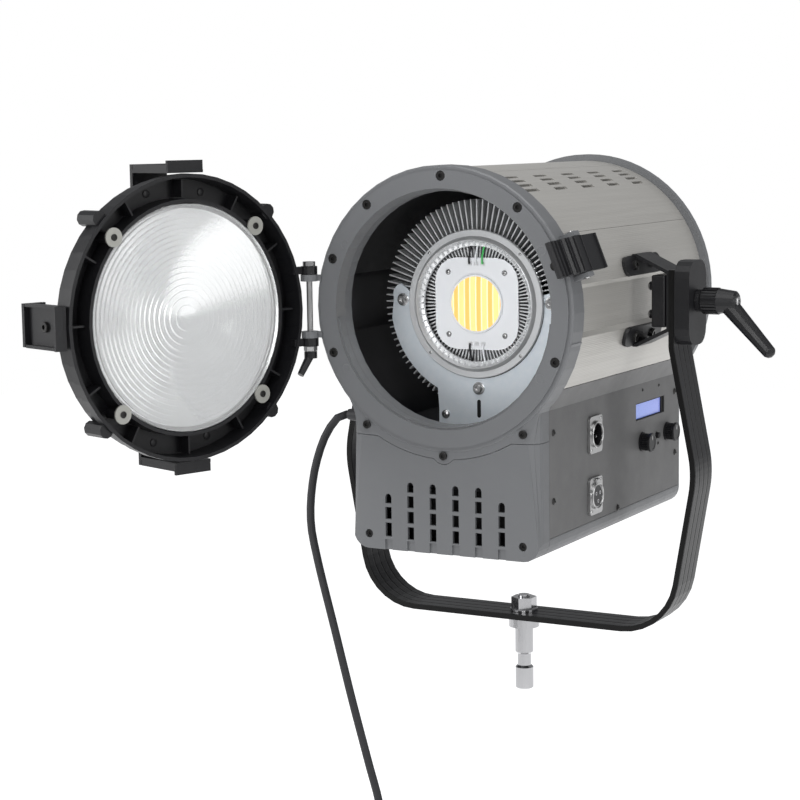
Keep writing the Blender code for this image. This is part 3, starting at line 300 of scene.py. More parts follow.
def add_sweep(bm, path, section_at, closed=False):
    """Joins sections, each a ring of places given by section_at(index), into a skin with end caps."""
    rings = [[bm.verts.new(place) for place in section_at(index)] for index in range(len(path))]
    count = len(rings[0])
    pairs = list(zip(rings, rings[1:]))
    if closed:
        pairs.append((rings[-1], rings[0]))
    for ring, following in pairs:
        for corner in range(count):
            after = (corner + 1) % count
            bm.faces.new((ring[corner], ring[after], following[after], following[corner]))
    if not closed:
        bm.faces.new(rings[0])
        bm.faces.new(rings[-1])


def tube_sections(path, radius, sides):
    """Rings round a path, turned as little as possible from one to the next."""
    rings = []
    across = None
    for index, point in enumerate(path):
        before, after = path[max(index - 1, 0)], path[min(index + 1, len(path) - 1)]
        along = (after - before).normalized()
        if across is None:
            across = along.orthogonal().normalized()
        across = (across - along * across.dot(along)).normalized()
        beside = along.cross(across)
        ring = []
        for side in range(sides):
            x, y = polar(radius, 360 * side / sides)
            ring.append(point + across * x + beside * y)
        rings.append(ring)
    return rings


def add_tube(bm, path, radius, sides=12):
    rings = tube_sections(path, radius, sides)
    add_sweep(bm, path, lambda index: rings[index])


# Materials

def start_material(name, colour, roughness, metallic=0.0):
    """A material, its shader, and a function that adds a node to it."""
    material = bpy.data.materials.new(name)
    material.use_nodes = True
    tree = material.node_tree
    shader = tree.nodes["Principled BSDF"]
    shader.inputs["Base Color"].default_value = (*colour, 1.0)
    shader.inputs["Roughness"].default_value = roughness
    shader.inputs["Metallic"].default_value = metallic

    def add(kind, links=(), **settings):
        node = tree.nodes.new("ShaderNode" + kind)
        for key, value in settings.items():
            if key in ("operation", "data_type"):
                setattr(node, key, value)
            else:
                node.inputs[key].default_value = value
        for source, socket in links:
            tree.links.new(source, node.inputs[socket])
        return node

    return material, shader, add


def object_places(add, stretch=(1.0, 1.0, 1.0)):
    """Object coordinates, in metres, stretched before a texture reads them."""
    places = add("TexCoord")
    scaled = add("Mapping", [(places.outputs["Object"], "Vector")])
    scaled.inputs["Scale"].default_value = stretch
    return scaled.outputs["Vector"]


def calculate(add, operation, source, value=None):
    node = add("Math", [(source, 0)], operation=operation)
    if value is not None:
        node.inputs[1].default_value = value
    return node.outputs[0]


def map_range(add, source, ends, low, high):
    """Maps the range low to high onto 0 to 1 when ends is From, and the other way round when it is To."""
    node = add("MapRange", [(source, "Value")])
    node.inputs[ends + " Min"].default_value = low
    node.inputs[ends + " Max"].default_value = high
    return node.outputs["Result"]


def blend_colours(add, factor, first, second):
    mix = add("Mix", [(factor, 0)], data_type="RGBA")
    mix.inputs[6].default_value = (*first, 1.0)
    mix.inputs[7].default_value = (*second, 1.0)
    return mix.outputs[2]


def link(material, output, socket):
    material.node_tree.links.new(output, socket)


def speckled(name, colour, other, roughness, metallic=0.0, grain=900.0, depth=0.00008, rough_spread=0.08,
             patch=60.0, shine=0.5):
    """A surface with fine grain in its height and slow changes in its colour and roughness."""
    material, shader, add = start_material(name, colour, roughness, metallic)
    shader.inputs["Specular IOR Level"].default_value = shine
    places = object_places(add)
    fine = add("TexNoise", [(places, "Vector")], Scale=grain, Detail=3.0, Roughness=0.6)
    slow = add("TexNoise", [(places, "Vector")], Scale=patch, Detail=4.0, Roughness=0.55)
    link(material, blend_colours(add, slow.outputs["Fac"], colour, other), shader.inputs["Base Color"])
    spread = map_range(add, slow.outputs["Fac"], "To", roughness - rough_spread, roughness + rough_spread)
    link(material, spread, shader.inputs["Roughness"])
    bump = add("Bump", [(fine.outputs["Fac"], "Height")], Strength=0.6, Distance=depth)
    link(material, bump.outputs["Normal"], shader.inputs["Normal"])
    return material


def make_silver():
    """An anodised extrusion with fine ribs along its length, and painted shade meant for its grooves, laid as
    darker streaks at random along its length.
    """
    colour, shade = (0.44, 0.43, 0.405), (0.36, 0.35, 0.33)
    material, shader, add = start_material("silver_extrusion", colour, 0.40, 0.55)
    places = add("TexCoord")
    centred = add("Mapping", [(places.outputs["Object"], "Vector")])
    centred.inputs["Location"].default_value = (0.0, 0.0, -AXIS_Z)
    split = add("SeparateXYZ", [(centred.outputs["Vector"], "Vector")])
    angle = add("Math", [(split.outputs["Z"], 0), (split.outputs["X"], 1)], operation="ARCTAN2")
    ribs = calculate(add, "MULTIPLY", angle.outputs[0], 2 * math.pi * BARREL_R / RIB_PITCH)
    wave = calculate(add, "SINE", ribs)
    streaks = add("TexNoise", [(object_places(add, (1.0, 0.02, 1.0)), "Vector")], Scale=420.0, Detail=4.0)
    # Painted shade: darker streaks along the length stand in for shade in the grooves.
    link(material, blend_colours(add, streaks.outputs["Fac"], colour, shade), shader.inputs["Base Color"])
    bump = add("Bump", [(wave, "Height")], Strength=0.35, Distance=0.00010)
    fine = add("Bump", [(streaks.outputs["Fac"], "Height"), (bump.outputs["Normal"], "Normal")], Strength=0.3,
               Distance=0.00006)
    link(material, fine.outputs["Normal"], shader.inputs["Normal"])
    return material


def make_yoke_paint():
    """Satin black with three pressed grooves along the strap, which lies across Y, and painted shade that
    darkens the grooves.
    """
    material, shader, add = start_material("yoke_paint", (0.006, 0.006, 0.007), 0.36)
    shader.inputs["Specular IOR Level"].default_value = 0.22
    split = add("SeparateXYZ", [(object_places(add), "Vector")])
    turns = calculate(add, "MULTIPLY", split.outputs["Y"], 2 * math.pi / GROOVE_PITCH)
    wave = calculate(add, "COSINE", turns)
    groove = map_range(add, wave, "From", 0.55, 0.95)
    # Painted shade: the colour turns darker inside the grooves.
    groove_painted_shade = blend_colours(add, groove, (0.009, 0.009, 0.010), (0.001, 0.001, 0.001))
    link(material, groove_painted_shade, shader.inputs["Base Color"])
    pressed = add("Bump", [(groove, "Height")], Strength=1.0, Distance=0.0008)
    pressed.invert = True
    grain = add("TexNoise", [(object_places(add), "Vector")], Scale=1300.0, Detail=3.0)
    fine = add("Bump", [(grain.outputs["Fac"], "Height"), (pressed.outputs["Normal"], "Normal")],
               Strength=0.4, Distance=0.00008)
    link(material, fine.outputs["Normal"], shader.inputs["Normal"])
    return material


def make_glass():
    """Clear pressed glass with a faint pebbled grain."""
    material, shader, add = start_material("pressed_glass", (0.90, 0.91, 0.91), 0.20)
    shader.inputs["Transmission Weight"].default_value = 0.80
    shader.inputs["IOR"].default_value = 1.47
    pebbles = add("TexVoronoi", [(object_places(add), "Vector")], Scale=420.0)
    grain = add("TexNoise", [(object_places(add), "Vector")], Scale=1500.0, Detail=2.0)
    bump = add("Bump", [(pebbles.outputs["Distance"], "Height")], Strength=0.20, Distance=0.00012)
    fine = add("Bump", [(grain.outputs["Fac"], "Height"), (bump.outputs["Normal"], "Normal")], Strength=0.2,
               Distance=0.0001)
    link(material, fine.outputs["Normal"], shader.inputs["Normal"])
    return material


def make_phosphor():
    """Upright rows of two phosphors under silicone, yellow and orange, that glow a little."""
    material, shader, add = start_material("phosphor_rows", (0.95, 0.72, 0.18), 0.25)
    places = add("TexCoord")
    split = add("SeparateXYZ", [(places.outputs["Object"], "Vector")])
    rows = calculate(add, "MULTIPLY", split.outputs["X"], 2 * math.pi / ROW_PITCH)
    gaps = calculate(add, "COSINE", calculate(add, "MULTIPLY", rows, 2.0))
    wall = calculate(add, "GREATER_THAN", gaps, 0.93)
    ramp = add("ValToRGB", [(calculate(add, "SINE", rows), "Fac")])
    ramp.color_ramp.interpolation = "CONSTANT"
    ramp.color_ramp.elements[0].color = (1.0, 0.80, 0.30, 1.0)
    ramp.color_ramp.elements[1].position = 0.5
    ramp.color_ramp.elements[1].color = (1.0, 0.58, 0.15, 1.0)
    mix = add("Mix", [(wall, 0), (ramp.outputs["Color"], 6)], data_type="RGBA")
    mix.inputs[7].default_value = (0.95, 0.92, 0.80, 1.0)
    link(material, mix.outputs[2], shader.inputs["Base Color"])
    link(material, mix.outputs[2], shader.inputs["Emission Color"])
    shader.inputs["Emission Strength"].default_value = 0.30
    shader.inputs["Coat Weight"].default_value = 0.5
    return material


def make_display():
    """A backlit window: pale blue, a little paler towards one end, with a fine grid of dots."""
    material, shader, add = start_material("display_blue", (0.18, 0.24, 0.50), 0.12)
    places = object_places(add)
    split = add("SeparateXYZ", [(places, "Vector")])
    low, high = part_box("display_window")
    across = map_range(add, split.outputs["Y"], "From", low.y, high.y)
    glow = blend_colours(add, across, (0.17, 0.26, 0.60), (0.24, 0.26, 0.58))
    dots = add("TexVoronoi", [(places, "Vector")], Scale=1400.0)
    dim = add("Mix", [(dots.outputs["Distance"], 0), (glow, 6)], data_type="RGBA")
    dim.inputs[7].default_value = (0.15, 0.20, 0.50, 1.0)
    link(material, dim.outputs[2], shader.inputs["Base Color"])
    link(material, dim.outputs[2], shader.inputs["Emission Color"])
    shader.inputs["Emission Strength"].default_value = 0.35
    return material


def make_materials():
    return {
        "grey": speckled("grey_powder_coat", (0.104, 0.107, 0.112), (0.093, 0.096, 0.101), 0.47,
                         grain=1500.0),
        "panel": speckled("panel_powder_coat", (0.088, 0.088, 0.088), (0.078, 0.078, 0.079), 0.52,
                          grain=1700.0),
        "silver": make_silver(),
        "black": speckled("satin_black_paint", (0.005, 0.005, 0.006), (0.008, 0.008, 0.009), 0.40,
                          grain=1300.0, shine=0.28),
        "plastic": speckled("moulded_black", (0.004, 0.004, 0.005), (0.007, 0.007, 0.008), 0.36,
                            grain=2000.0, shine=0.28),
        "rubber": speckled("black_rubber", (0.012, 0.012, 0.014), (0.018, 0.018, 0.020), 0.55,
                           grain=2400.0, shine=0.3),
        "zinc": speckled("zinc_plate", (0.74, 0.82, 0.88), (0.86, 0.90, 0.94), 0.34, 0.6, grain=700.0,
                         patch=180.0, depth=0.00005),
        "steel": speckled("turned_steel", (0.36, 0.36, 0.36), (0.44, 0.44, 0.44), 0.30, 1.0, grain=1400.0,
                          depth=0.00003),
        "chrome": speckled("bright_chrome", (0.40, 0.40, 0.41), (0.46, 0.46, 0.47), 0.16, 1.0, grain=600.0,
                           depth=0.00002, rough_spread=0.04),
        "aluminium": speckled("plain_aluminium", (0.72, 0.73, 0.74), (0.82, 0.83, 0.84), 0.32, 0.7,
                              grain=900.0, depth=0.00005),
        # Near-black for the display's sunk frame and strip, and also painted shade: the carrier's slot and
        # the plate behind the heatsink fins.
        "dark": speckled("inside_black_and_painted_shade", (0.006, 0.006, 0.006), (0.010, 0.010, 0.010), 0.62, shine=0.2),
        "screw": speckled("black_oxide", (0.012, 0.012, 0.012), (0.022, 0.021, 0.020), 0.34, 0.6,
                          grain=2500.0),
        "washer": speckled("zinc_washer", (0.24, 0.24, 0.22), (0.29, 0.29, 0.27), 0.42, 0.5, grain=1800.0),
        "white": speckled("white_solder_mask", (0.80, 0.82, 0.85), (0.86, 0.87, 0.89), 0.22, grain=900.0,
                          depth=0.00002),
        "mark": speckled("pale_print", (0.42, 0.42, 0.42), (0.50, 0.50, 0.50), 0.55),
        "liner": speckled("barrel_lining", (0.020, 0.020, 0.021), (0.028, 0.028, 0.030), 0.45, grain=1200.0),
        "satin": speckled("satin_ring", (0.66, 0.67, 0.68), (0.74, 0.75, 0.76), 0.36, 0.6, grain=1500.0,
                          depth=0.00003),
        "green": speckled("green_wire", (0.05, 0.45, 0.10), (0.06, 0.50, 0.12), 0.40),
        "yoke": make_yoke_paint(),
        "glass": make_glass(),
        "phosphor": make_phosphor(),
        "display": make_display(),
    }


# Camera, cord and setting

def make_camera():
    azimuth, elevation = math.radians(CAMERA_AZIMUTH), math.radians(CAMERA_ELEVATION)
    forward = Vector((-math.sin(azimuth) * math.cos(elevation), math.cos(azimuth) * math.cos(elevation),
                      -math.sin(elevation)))
    roll = Matrix.Rotation(math.radians(CAMERA_ROLL), 4, "Z")
    camera = bpy.data.objects.new("camera", bpy.data.cameras.new("camera"))
    camera.data.lens = CAMERA_LENS
    camera.data.sensor_width = 36.0
    aim = forward.to_track_quat("-Z", "Y").to_matrix().to_4x4()
    camera.matrix_world = Matrix.Translation(Vector(CAMERA_PLACE)) @ aim @ roll
    bpy.context.scene.collection.objects.link(camera)
    bpy.context.scene.camera = camera


def smooth_route(points, spacing):
    """Points at even steps along a smooth curve through the given ones."""
    ends = [2 * points[0] - points[1]] + points + [2 * points[-1] - points[-2]]
    fine = []
    for a, b, c, d in zip(ends, ends[1:], ends[2:], ends[3:]):
        for step in range(20):
            t = step / 20
            fine.append(0.5 * (2 * b + (c - a) * t + (2 * a - 5 * b + 4 * c - d) * t * t
                               + (3 * b - a - 3 * c + d) * t * t * t))
    fine.append(points[-1])
    lengths = [0.0]
    for before, after in zip(fine, fine[1:]):
        lengths.append(lengths[-1] + (after - before).length)
    count = max(2, round(lengths[-1] / spacing))
    route, index = [], 0
    for number in range(count + 1):
        target = lengths[-1] * number / count
        while index < len(fine) - 2 and lengths[index + 1] < target:
            index += 1
        span = lengths[index + 1] - lengths[index]
        route.append(fine[index].lerp(fine[index + 1], (target - lengths[index]) / span))
    return route


def coil_route(centre):
    """Turns side by side in layers, wound about the Y axis from the left end, going down first."""
    spread = 2 * CORD_R + 0.0002
    rows = ((-spread, -spread / 2), (0.0, spread / 2), (spread, -spread / 2),
            (spread, spread / 2), (0.0, -spread / 2), (-spread, spread / 2))
    steps = 24
    route = []
    for turn in range(COIL_TURNS):
        y0, r0 = rows[turn]
        y1, r1 = rows[min(turn + 1, COIL_TURNS - 1)]
        for step in range(steps):
            share = step / steps
            change = max(0.0, (share - 0.75) / 0.25)
            change = change * change * (3 - 2 * change)
            y = y0 + (y1 - y0) * change
            x, z = polar(COIL_R + r0 + (r1 - r0) * change, 180 + 360 * share)
            route.append(centre + Vector((x, y, z)))
    return route


def make_power_cord(materials):
    """A cord that leaves the gland, hangs behind the yoke's left arm, and ends in a tied coil and a plug."""
    low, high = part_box("cord_coil")
    centre = (low + high) / 2
    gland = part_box("cable_gland")[0].x - 0.0016
    gland_place = Vector((gland, light(0, 0.0500, 0).y, light(0, 0, -0.0960).z))
    places = [
        gland_place,
        light(-0.1210, 0.0500, -0.0967),
        light(-0.1292, 0.0485, -0.1030),
        light(-0.1395, 0.0455, -0.1220),
        light(-0.1470, 0.0420, -0.1520),
        light(-0.1480, 0.0380, -0.1875),
        light(-0.1395, 0.0340, -0.2210),
        light(-0.1200, 0.0280, -0.2795),
        light(-0.1020, 0.0240, -0.3375),
        light(-0.0860, 0.0215, -0.3880),
        light(-0.0735, 0.0200, -0.4300),
    ]
    coil = coil_route(centre)
    hang = smooth_route(places + [coil[0]], CORD_STEP)
    plug_low, plug_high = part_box("power_plug")
    plug_top = Vector(((plug_low.x + plug_high.x) / 2, centre.y, plug_high.z))
    leave = coil[-1]
    tail = smooth_route([leave, coil[0] + Vector((-0.0032, 0.0, -0.0060)), plug_top + Vector((0, 0, 0.0100)),
                         plug_top - Vector((0, 0, 0.0020))], CORD_STEP)
    route = hang[:-1] + coil + tail[1:]
    bm = bmesh.new()
    add_tube(bm, route, CORD_R, 12)
    cord = make_object(bm, "power_cord_run", materials["rubber"])
    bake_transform(cord)
    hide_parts("power_cord", "cord_coil")
    pieces = [make_coil_tie(centre, materials), make_plug(plug_top, materials)]


def make_coil_tie(centre, materials):
    """A hook-and-loop strap once round the bundle at the right of the coil."""
    bm = bmesh.new()
    width, radial, flat = 0.0090, 2 * CORD_R + 0.0012, 3 * CORD_R + 0.0014
    place = Matrix.Translation(centre + Vector((COIL_R, 0, 0)))
    outline = rounded_box(2 * radial, 2 * flat, 0.0030)
    inside = rounded_box(2 * radial - 0.0016, 2 * flat - 0.0016, 0.0026)
    rings = []
    for z in (-width, width):
        for loop in (outline, inside):
            rings.append([bm.verts.new(place @ Vector((x, y, z))) for x, y in loop])
    lower_outer, lower_inner, upper_outer, upper_inner = rings
    skins = ((lower_outer, lower_inner), (upper_outer, upper_inner), (lower_outer, upper_outer),
             (lower_inner, upper_inner))
    for ring, other in skins:
        for index in range(len(ring)):
            after = (index + 1) % len(ring)
            bm.faces.new((ring[index], ring[after], other[after], other[index]))
    return finish_piece(bm, "coil_strap", materials["black"], "yoke")


def make_plug(top, materials):
    """A moulded two-pin plug: a ribbed strain relief, a waisted body and two round pins."""
    bm = bmesh.new()
    place = Matrix.Translation(top)
    profile = [(0.0, 0.0), (0.0048, 0.0)]
    for rib in range(6):
        z = -0.0014 - 0.0034 * rib
        radius = 0.0050 + 0.0005 * rib
        waist = radius - 0.0009
        profile += [(radius, z), (radius, z - 0.0018), (waist, z - 0.0022), (waist, z - 0.0032)]
    profile += [(0.0060, -0.0220), (0.0, -0.0220)]
    add_turned(bm, profile, place, steps=24)
    sections = ((0.0070, 0.0070, -0.0135), (0.0100, 0.0076, -0.0160), (0.0122, 0.0084, -0.0230),
                (0.0124, 0.0084, -0.0300), (0.0118, 0.0080, -0.0345), (0.0123, 0.0084, -0.0400),
                (0.0114, 0.0076, -0.0420))

    def section_at(index):
        half_x, half_y, z = sections[index]
        return [place @ Vector((x, y, z)) for x, y in rounded_box(2 * half_x, 2 * half_y, 0.0052)]

    add_sweep(bm, sections, section_at)
    plug = finish_piece(bm, "power_plug_body", materials["rubber"], "yoke")
    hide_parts("power_plug")
    pins = bmesh.new()
    pin_profile = [(0.0, -0.0415), (0.0022, -0.0415), (0.0022, -0.0588), (0.0014, -0.0600), (0.0, -0.0600)]
    for x in (0.0070, -0.0070):
        add_turned(pins, pin_profile, moved(place, x, 0.0), steps=20)
    pin_piece = finish_piece(pins, "power_plug_pins", materials["steel"], "yoke")
    pin_piece.parent = plug
    pin_piece.matrix_parent_inverse = plug.matrix_world.inverted()
    return plug


def make_floor():
    bm = bmesh.new()
    bmesh.ops.create_grid(bm, x_segments=1, y_segments=1, size=6.0)
    mesh = bpy.data.meshes.new("floor")
    bm.to_mesh(mesh)
    bm.free()
    floor = bpy.data.objects.new("floor", mesh)
    floor.location = (0.0, 2.0, -0.8)
    material, shader, add = start_material("pale_floor", (0.92, 0.92, 0.92), 0.8)
    patches = add("TexNoise", [(object_places(add), "Vector")], Scale=2.0)
    link(material, blend_colours(add, patches.outputs["Fac"], (0.92, 0.92, 0.92), (0.93, 0.93, 0.93)),
         shader.inputs["Base Color"])
    shader.inputs["Emission Color"].default_value = (1.0, 1.0, 1.0, 1.0)
    shader.inputs["Emission Strength"].default_value = 0.75
    mesh.materials.append(material)
    bpy.context.scene.collection.objects.link(floor)


def add_area(name, place, target, size, power):
    lamp = bpy.data.lights.new(name, "AREA")
    lamp.shape = "RECTANGLE"
    lamp.size, lamp.size_y = size
    lamp.energy = power
    obj = bpy.data.objects.new(name, lamp)
    obj.location = place
    obj.rotation_mode = "QUATERNION"
    obj.rotation_quaternion = (Vector(target) - Vector(place)).to_track_quat("-Z", "Y")
    bpy.context.scene.collection.objects.link(obj)


def make_lights():
    """A bright white studio: soft light from above and both sides, and a white surround."""
    world = bpy.data.worlds.new("studio")
    world.use_nodes = True
    tree = world.node_tree
    seen = tree.nodes["Background"]
    seen.inputs["Color"].default_value = (1.0, 1.0, 1.0, 1.0)
    seen.inputs["Strength"].default_value = 1.0
    lighting = tree.nodes.new("ShaderNodeBackground")
    lighting.inputs["Color"].default_value = (0.97, 0.98, 1.0, 1.0)
    lighting.inputs["Strength"].default_value = 0.38
    ray = tree.nodes.new("ShaderNodeLightPath")
    either = tree.nodes.new("ShaderNodeMixShader")
    tree.links.new(ray.outputs["Is Camera Ray"], either.inputs["Fac"])
    tree.links.new(lighting.outputs["Background"], either.inputs[1])
    tree.links.new(seen.outputs["Background"], either.inputs[2])
    tree.links.new(either.outputs["Shader"], tree.nodes["World Output"].inputs["Surface"])
    bpy.context.scene.world = world
    add_area("softbox_top", (0.3, -0.6, 2.0), (0.0, 0.0, 0.35), (1.6, 1.6), 30.0)
    add_area("softbox_left", (-1.7, -1.3, 0.9), (0.0, 0.0, 0.35), (1.0, 1.6), 30.0)
    add_area("softbox_front", (0.7, -2.4, 0.9), (0.0, -0.1, 0.35), (0.7, 0.7), 20.0)
    add_area("softbox_right", (2.2, -0.3, 0.8), (0.0, 0.0, 0.30), (0.8, 1.6), 16.0)


def look():
    view = bpy.context.scene.view_settings
    view.view_transform = "Standard"
    view.look = "None"


# Screws


def add_hex_screw(bm, place, radius, height, hex_radius):
    """A cylinder head on the place's XY plane, with a hexagon socket in its top."""
    count = 36
    rim = radius * 0.10
    rings = []
    for ring_radius, ring_height in ((radius, 0.0), (radius, height - rim), (radius - rim, height)):
        rings.append([(*polar(ring_radius, 360 * step / count), ring_height) for step in range(count)])
    hexagon = []
    for step in range(count):
        turn = 360 * step / count
        reach = hex_radius * math.cos(math.radians(30)) / math.cos(math.radians(turn % 60 - 30))
        hexagon.append(polar(reach, turn))
    rings.append([(x, y, height) for x, y in hexagon])
    rings.append([(x, y, height * 0.35) for x, y in hexagon])
    verts = [[bm.verts.new(place @ Vector(point)) for point in ring] for ring in rings]
    for lower, upper in zip(verts, verts[1:]):
        for step in range(count):
            after = (step + 1) % count
            bm.faces.new((lower[step], lower[after], upper[after], upper[step]))
    bm.faces.new(verts[-1])


def add_dome_screw(bm, place, radius, height, recess_radius):
    """A domed head on the place's XY plane, with a small round recess in its top."""
    profile = [(radius, 0.0)]
    for step in range(1, 6):
        x, z = polar(1.0, 90 * step / 6)
        profile.append((radius * x, height * z))
    profile += [(recess_radius, height * 0.98), (recess_radius * 0.9, height * 0.45), (0.0, height * 0.40)]
    add_turned(bm, profile, place, steps=28)


def make_screws(add_screw, name, places, size, materials, finish, body):
    """One piece with a screw at each place. The size is radius, height and the socket's radius."""
    bm = bmesh.new()
    for place in places:
        add_screw(bm, place, *size)
    finish_piece(bm, name, materials[finish], body)


# CAD nodes that keep their own meshes

CAD_FINISHES = {
    "grey": ("front_casting", "lower_front_cover", "rear_flange", "rear_panel", "left_panel", "bottom_cover"),
    "panel": ("control_panel",),
    "silver": ("barrel_top", "barrel_vent_right", "barrel_vent_left", "barrel_side_right",
               "barrel_side_left"),
    "yoke": ("yoke_frame",),
    "black": ("arm_cap_right", "arm_cap_left", "tilt_bracket_right", "tilt_bracket_left", "door_ring",
              "clip_top", "clip_far", "clip_bottom", "latch_plate"),
    "plastic": ("clamp_block_right", "clamp_block_left", "tilt_lever", "fan_frame", "fan_rotor",
                "hinge_lever", "focus_knob", "dimmer_knob", "menu_button", "power_supply"),
    "rubber": ("cable_gland", "power_cord", "cord_coil", "power_plug"),
    "zinc": ("engine_carrier",),
    "steel": ("tilt_bolt_left", "hinge_pin", "latch_pin", "guide_rod_right", "guide_rod_left", "focus_pinion",
              "focus_rack", "signal_socket_in", "signal_socket_out", "socket_catch"),
    "chrome": ("spigot", "spigot_nut", "led_bezel"),
    "washer": ("lens_clamp_1", "lens_clamp_2", "lens_clamp_3", "lens_clamp_4"),
    "aluminium": ("heatsink", "engine_slider"),
    "glass": ("fresnel_lens",),
    "display": ("display_window",),
    "white": ("led_board",),
    "phosphor": ("led_emitter",),
}
SOFT_EDGES = {
    "grey": 0.0006,
    "panel": 0.0004,
    "silver": 0.0003,
    "black": 0.0006,
    "plastic": 0.0005,
}


def dress_cad_nodes(materials):
    for finish, names in CAD_FINISHES.items():
        for name in names:
            obj = frame["nodes"][name]
            obj.data.materials.clear()
            obj.data.materials.append(materials[finish])
            if finish in SOFT_EDGES:
                add_bevel(obj, SOFT_EDGES[finish])


# Front casting

def make_face_screws(materials):
    """Screws and cups in the ring's face, and the screws of the cover under it."""
    screws = []
    for angle in FACE_SCREW_ANGLES:
        place = moved(front_frame(), *polar(FACE_SCREW_R, angle), -0.0024)
        screws.append(place @ Matrix.Rotation(math.radians(angle), 4, "Z"))
    make_screws(add_hex_screw, "casting_screws", screws, (0.0039, 0.0024, 0.0020), materials, "screw", "head")
    screws = [moved(front_frame(back), x, z) for x, z, back in COVER_SCREWS]
    make_screws(add_hex_screw, "cover_screws", screws, (0.0034, 0.0020, 0.0018), materials, "screw", "head")
    cups = bmesh.new()
    profile = [(0.0043, 0.0), (0.0043, 0.0013), (0.0036, 0.0015), (0.0031, 0.0013), (0.0028, 0.0004),
               (0.0, 0.0003)]
    for angle in FACE_CUP_ANGLES:
        add_turned(cups, profile, moved(front_frame(), *polar(FACE_CUP_R, angle), -0.0012), steps=32)
    finish_piece(cups, "casting_cups", materials["grey"], "head")


# Control panel

def panel_place(y, z):
    return side_frame(BOX_HALF, y, z)


def make_panel_screws(materials):
    """Five screws on each side of the box, and three small ones by the display and the knobs."""
    large = [panel_place(y, z) for y, z in PANEL_SCREWS]
    large += [side_frame(-BOX_HALF, y, z, side=-1) for y, z in PANEL_SCREWS]
    make_screws(add_dome_screw, "panel_screws", large, (0.0029, 0.0015, 0.0012), materials, "screw", "head")
    small = [panel_place(y, z) for y, z in SMALL_PANEL_SCREWS]
    make_screws(add_dome_screw, "small_panel_screws", small, (0.0015, 0.0008, 0.0006),
                materials, "screw", "head")


def make_knob(name, body, y, z, materials):
    """A ribbed grip with a wider smooth skirt at its outer end and a pale pointer line on its face."""
    place = panel_place(y, z)
    bm = bmesh.new()
    loop = []
    teeth = 28
    for step in range(teeth * 4):
        radius = 0.0075 if step % 4 in (0, 1) else 0.0069
        loop.append(polar(radius, 360 * step / (teeth * 4)))
    add_prism(bm, loop, 0.0012, 0.0080, place)
    skirt = [(0.0, 0.0076), (0.0080, 0.0076), (0.0083, 0.0080), (0.0083, 0.0096), (0.0078, 0.0101),
             (0.0062, 0.0101), (0.0059, 0.0098), (0.0, 0.0098)]
    add_turned(bm, skirt, place, steps=48)
    foot = [(0.0, 0.0004), (0.0085, 0.0004), (0.0085, 0.0013), (0.0074, 0.0015), (0.0, 0.0015)]
    add_turned(bm, foot, place, steps=40)
    knob = finish_piece(bm, name + "_grip", materials["plastic"], body)
    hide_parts(name)
    line = bmesh.new()
    add_box(line, (-0.0004, 0.0020, 0.0097), (0.0004, 0.0058, 0.00995), place)
    pointer = finish_piece(line, name + "_grip_pointer", materials["mark"], body)
    pointer.parent = knob


def make_socket_detail(name, z, has_pins, materials):
    """A socket's black insert, its three pins or holes, the screws of its flange and its collar."""
    place = panel_place(SOCKET_BACK, z)
    if has_pins:
        insert = [(0.0, -0.0120), (0.0095, -0.0120), (0.0095, 0.0030), (0.0086, 0.0034), (0.0086, -0.0110),
                  (0.0, -0.0110)]
        contact = [(0.0, -0.0110), (0.0012, -0.0110), (0.0012, 0.0006), (0.0, 0.0012)]
        angles, steps = (90, 210, 330), 16
    else:
        insert = [(0.0, 0.0037), (0.0088, 0.0037), (0.0092, 0.0034), (0.0092, 0.0030), (0.0, 0.0030)]
        contact = [(0.0009, 0.0030), (0.0009, 0.0040), (0.0015, 0.0040), (0.0015, 0.0036)]
        angles, steps = (30, 150, 270), 20
    bm = bmesh.new()
    add_turned(bm, insert, place, steps=48)
    finish_piece(bm, name, materials["plastic"], "head")
    contacts = bmesh.new()
    for angle in angles:
        add_turned(contacts, contact, moved(place, *polar(0.0045, angle)), steps=steps)
    finish_piece(contacts, name + "_contacts", materials["chrome"], "head")
    screws = [moved(place, side * 0.0100, side * 0.0125, 0.0024) for side in (1, -1)]
    make_screws(add_dome_screw, name + "_screws", screws, (0.0016, 0.0009, 0.0007),
                materials, "steel", "head")
    collar = bmesh.new()
    add_turned(collar, [(0.0100, 0.0024), (0.0100, 0.0041), (0.0104, 0.0045), (0.0110, 0.0045),
                        (0.0114, 0.0041), (0.0114, 0.0024)], place, steps=56)
    finish_piece(collar, name + "_collar", materials["steel"], "head")


def make_display_frame(materials):
    """A thin sunk frame round the display and a dark strip at its rear end."""
    panel = side_frame(BOX_HALF, 0, 0)
    (y0, z0), (y1, z1) = DISPLAY_LOW, DISPLAY_HIGH
    rim = 0.0006
    bm = bmesh.new()
    for low_y, low_z, high_y, high_z in ((y0, z0, y1, z0 + rim), (y0, z1 - rim, y1, z1),
                                         (y0, z0, y0 + rim, z1), (y1 - rim, z0, y1, z1)):
        add_box(bm, (low_y, low_z, -0.0019), (high_y, high_z, -0.0006), panel)
    finish_piece(bm, "display_frame", materials["dark"], "head")
    strip = bmesh.new()
    add_box(strip, (y1 - 0.0050, z0, -0.0022), (y1 - rim, z1, -0.0012), panel)
    finish_piece(strip, "display_strip", materials["dark"], "head")


# Latch

def latch_frame():
    """X outwards, Y backwards and Z along the latch's pin, which is at the origin."""
    pivot = Vector(JOINTS["latch_lift"]["pos_m"])
    along = Vector(JOINTS["latch_lift"]["axis"]).normalized()
    back = Vector((0.0, 1.0, 0.0))
    out = back.cross(along)
    turn = Matrix((out, back, along)).transposed().to_4x4()
    return Matrix.Translation(pivot) @ turn


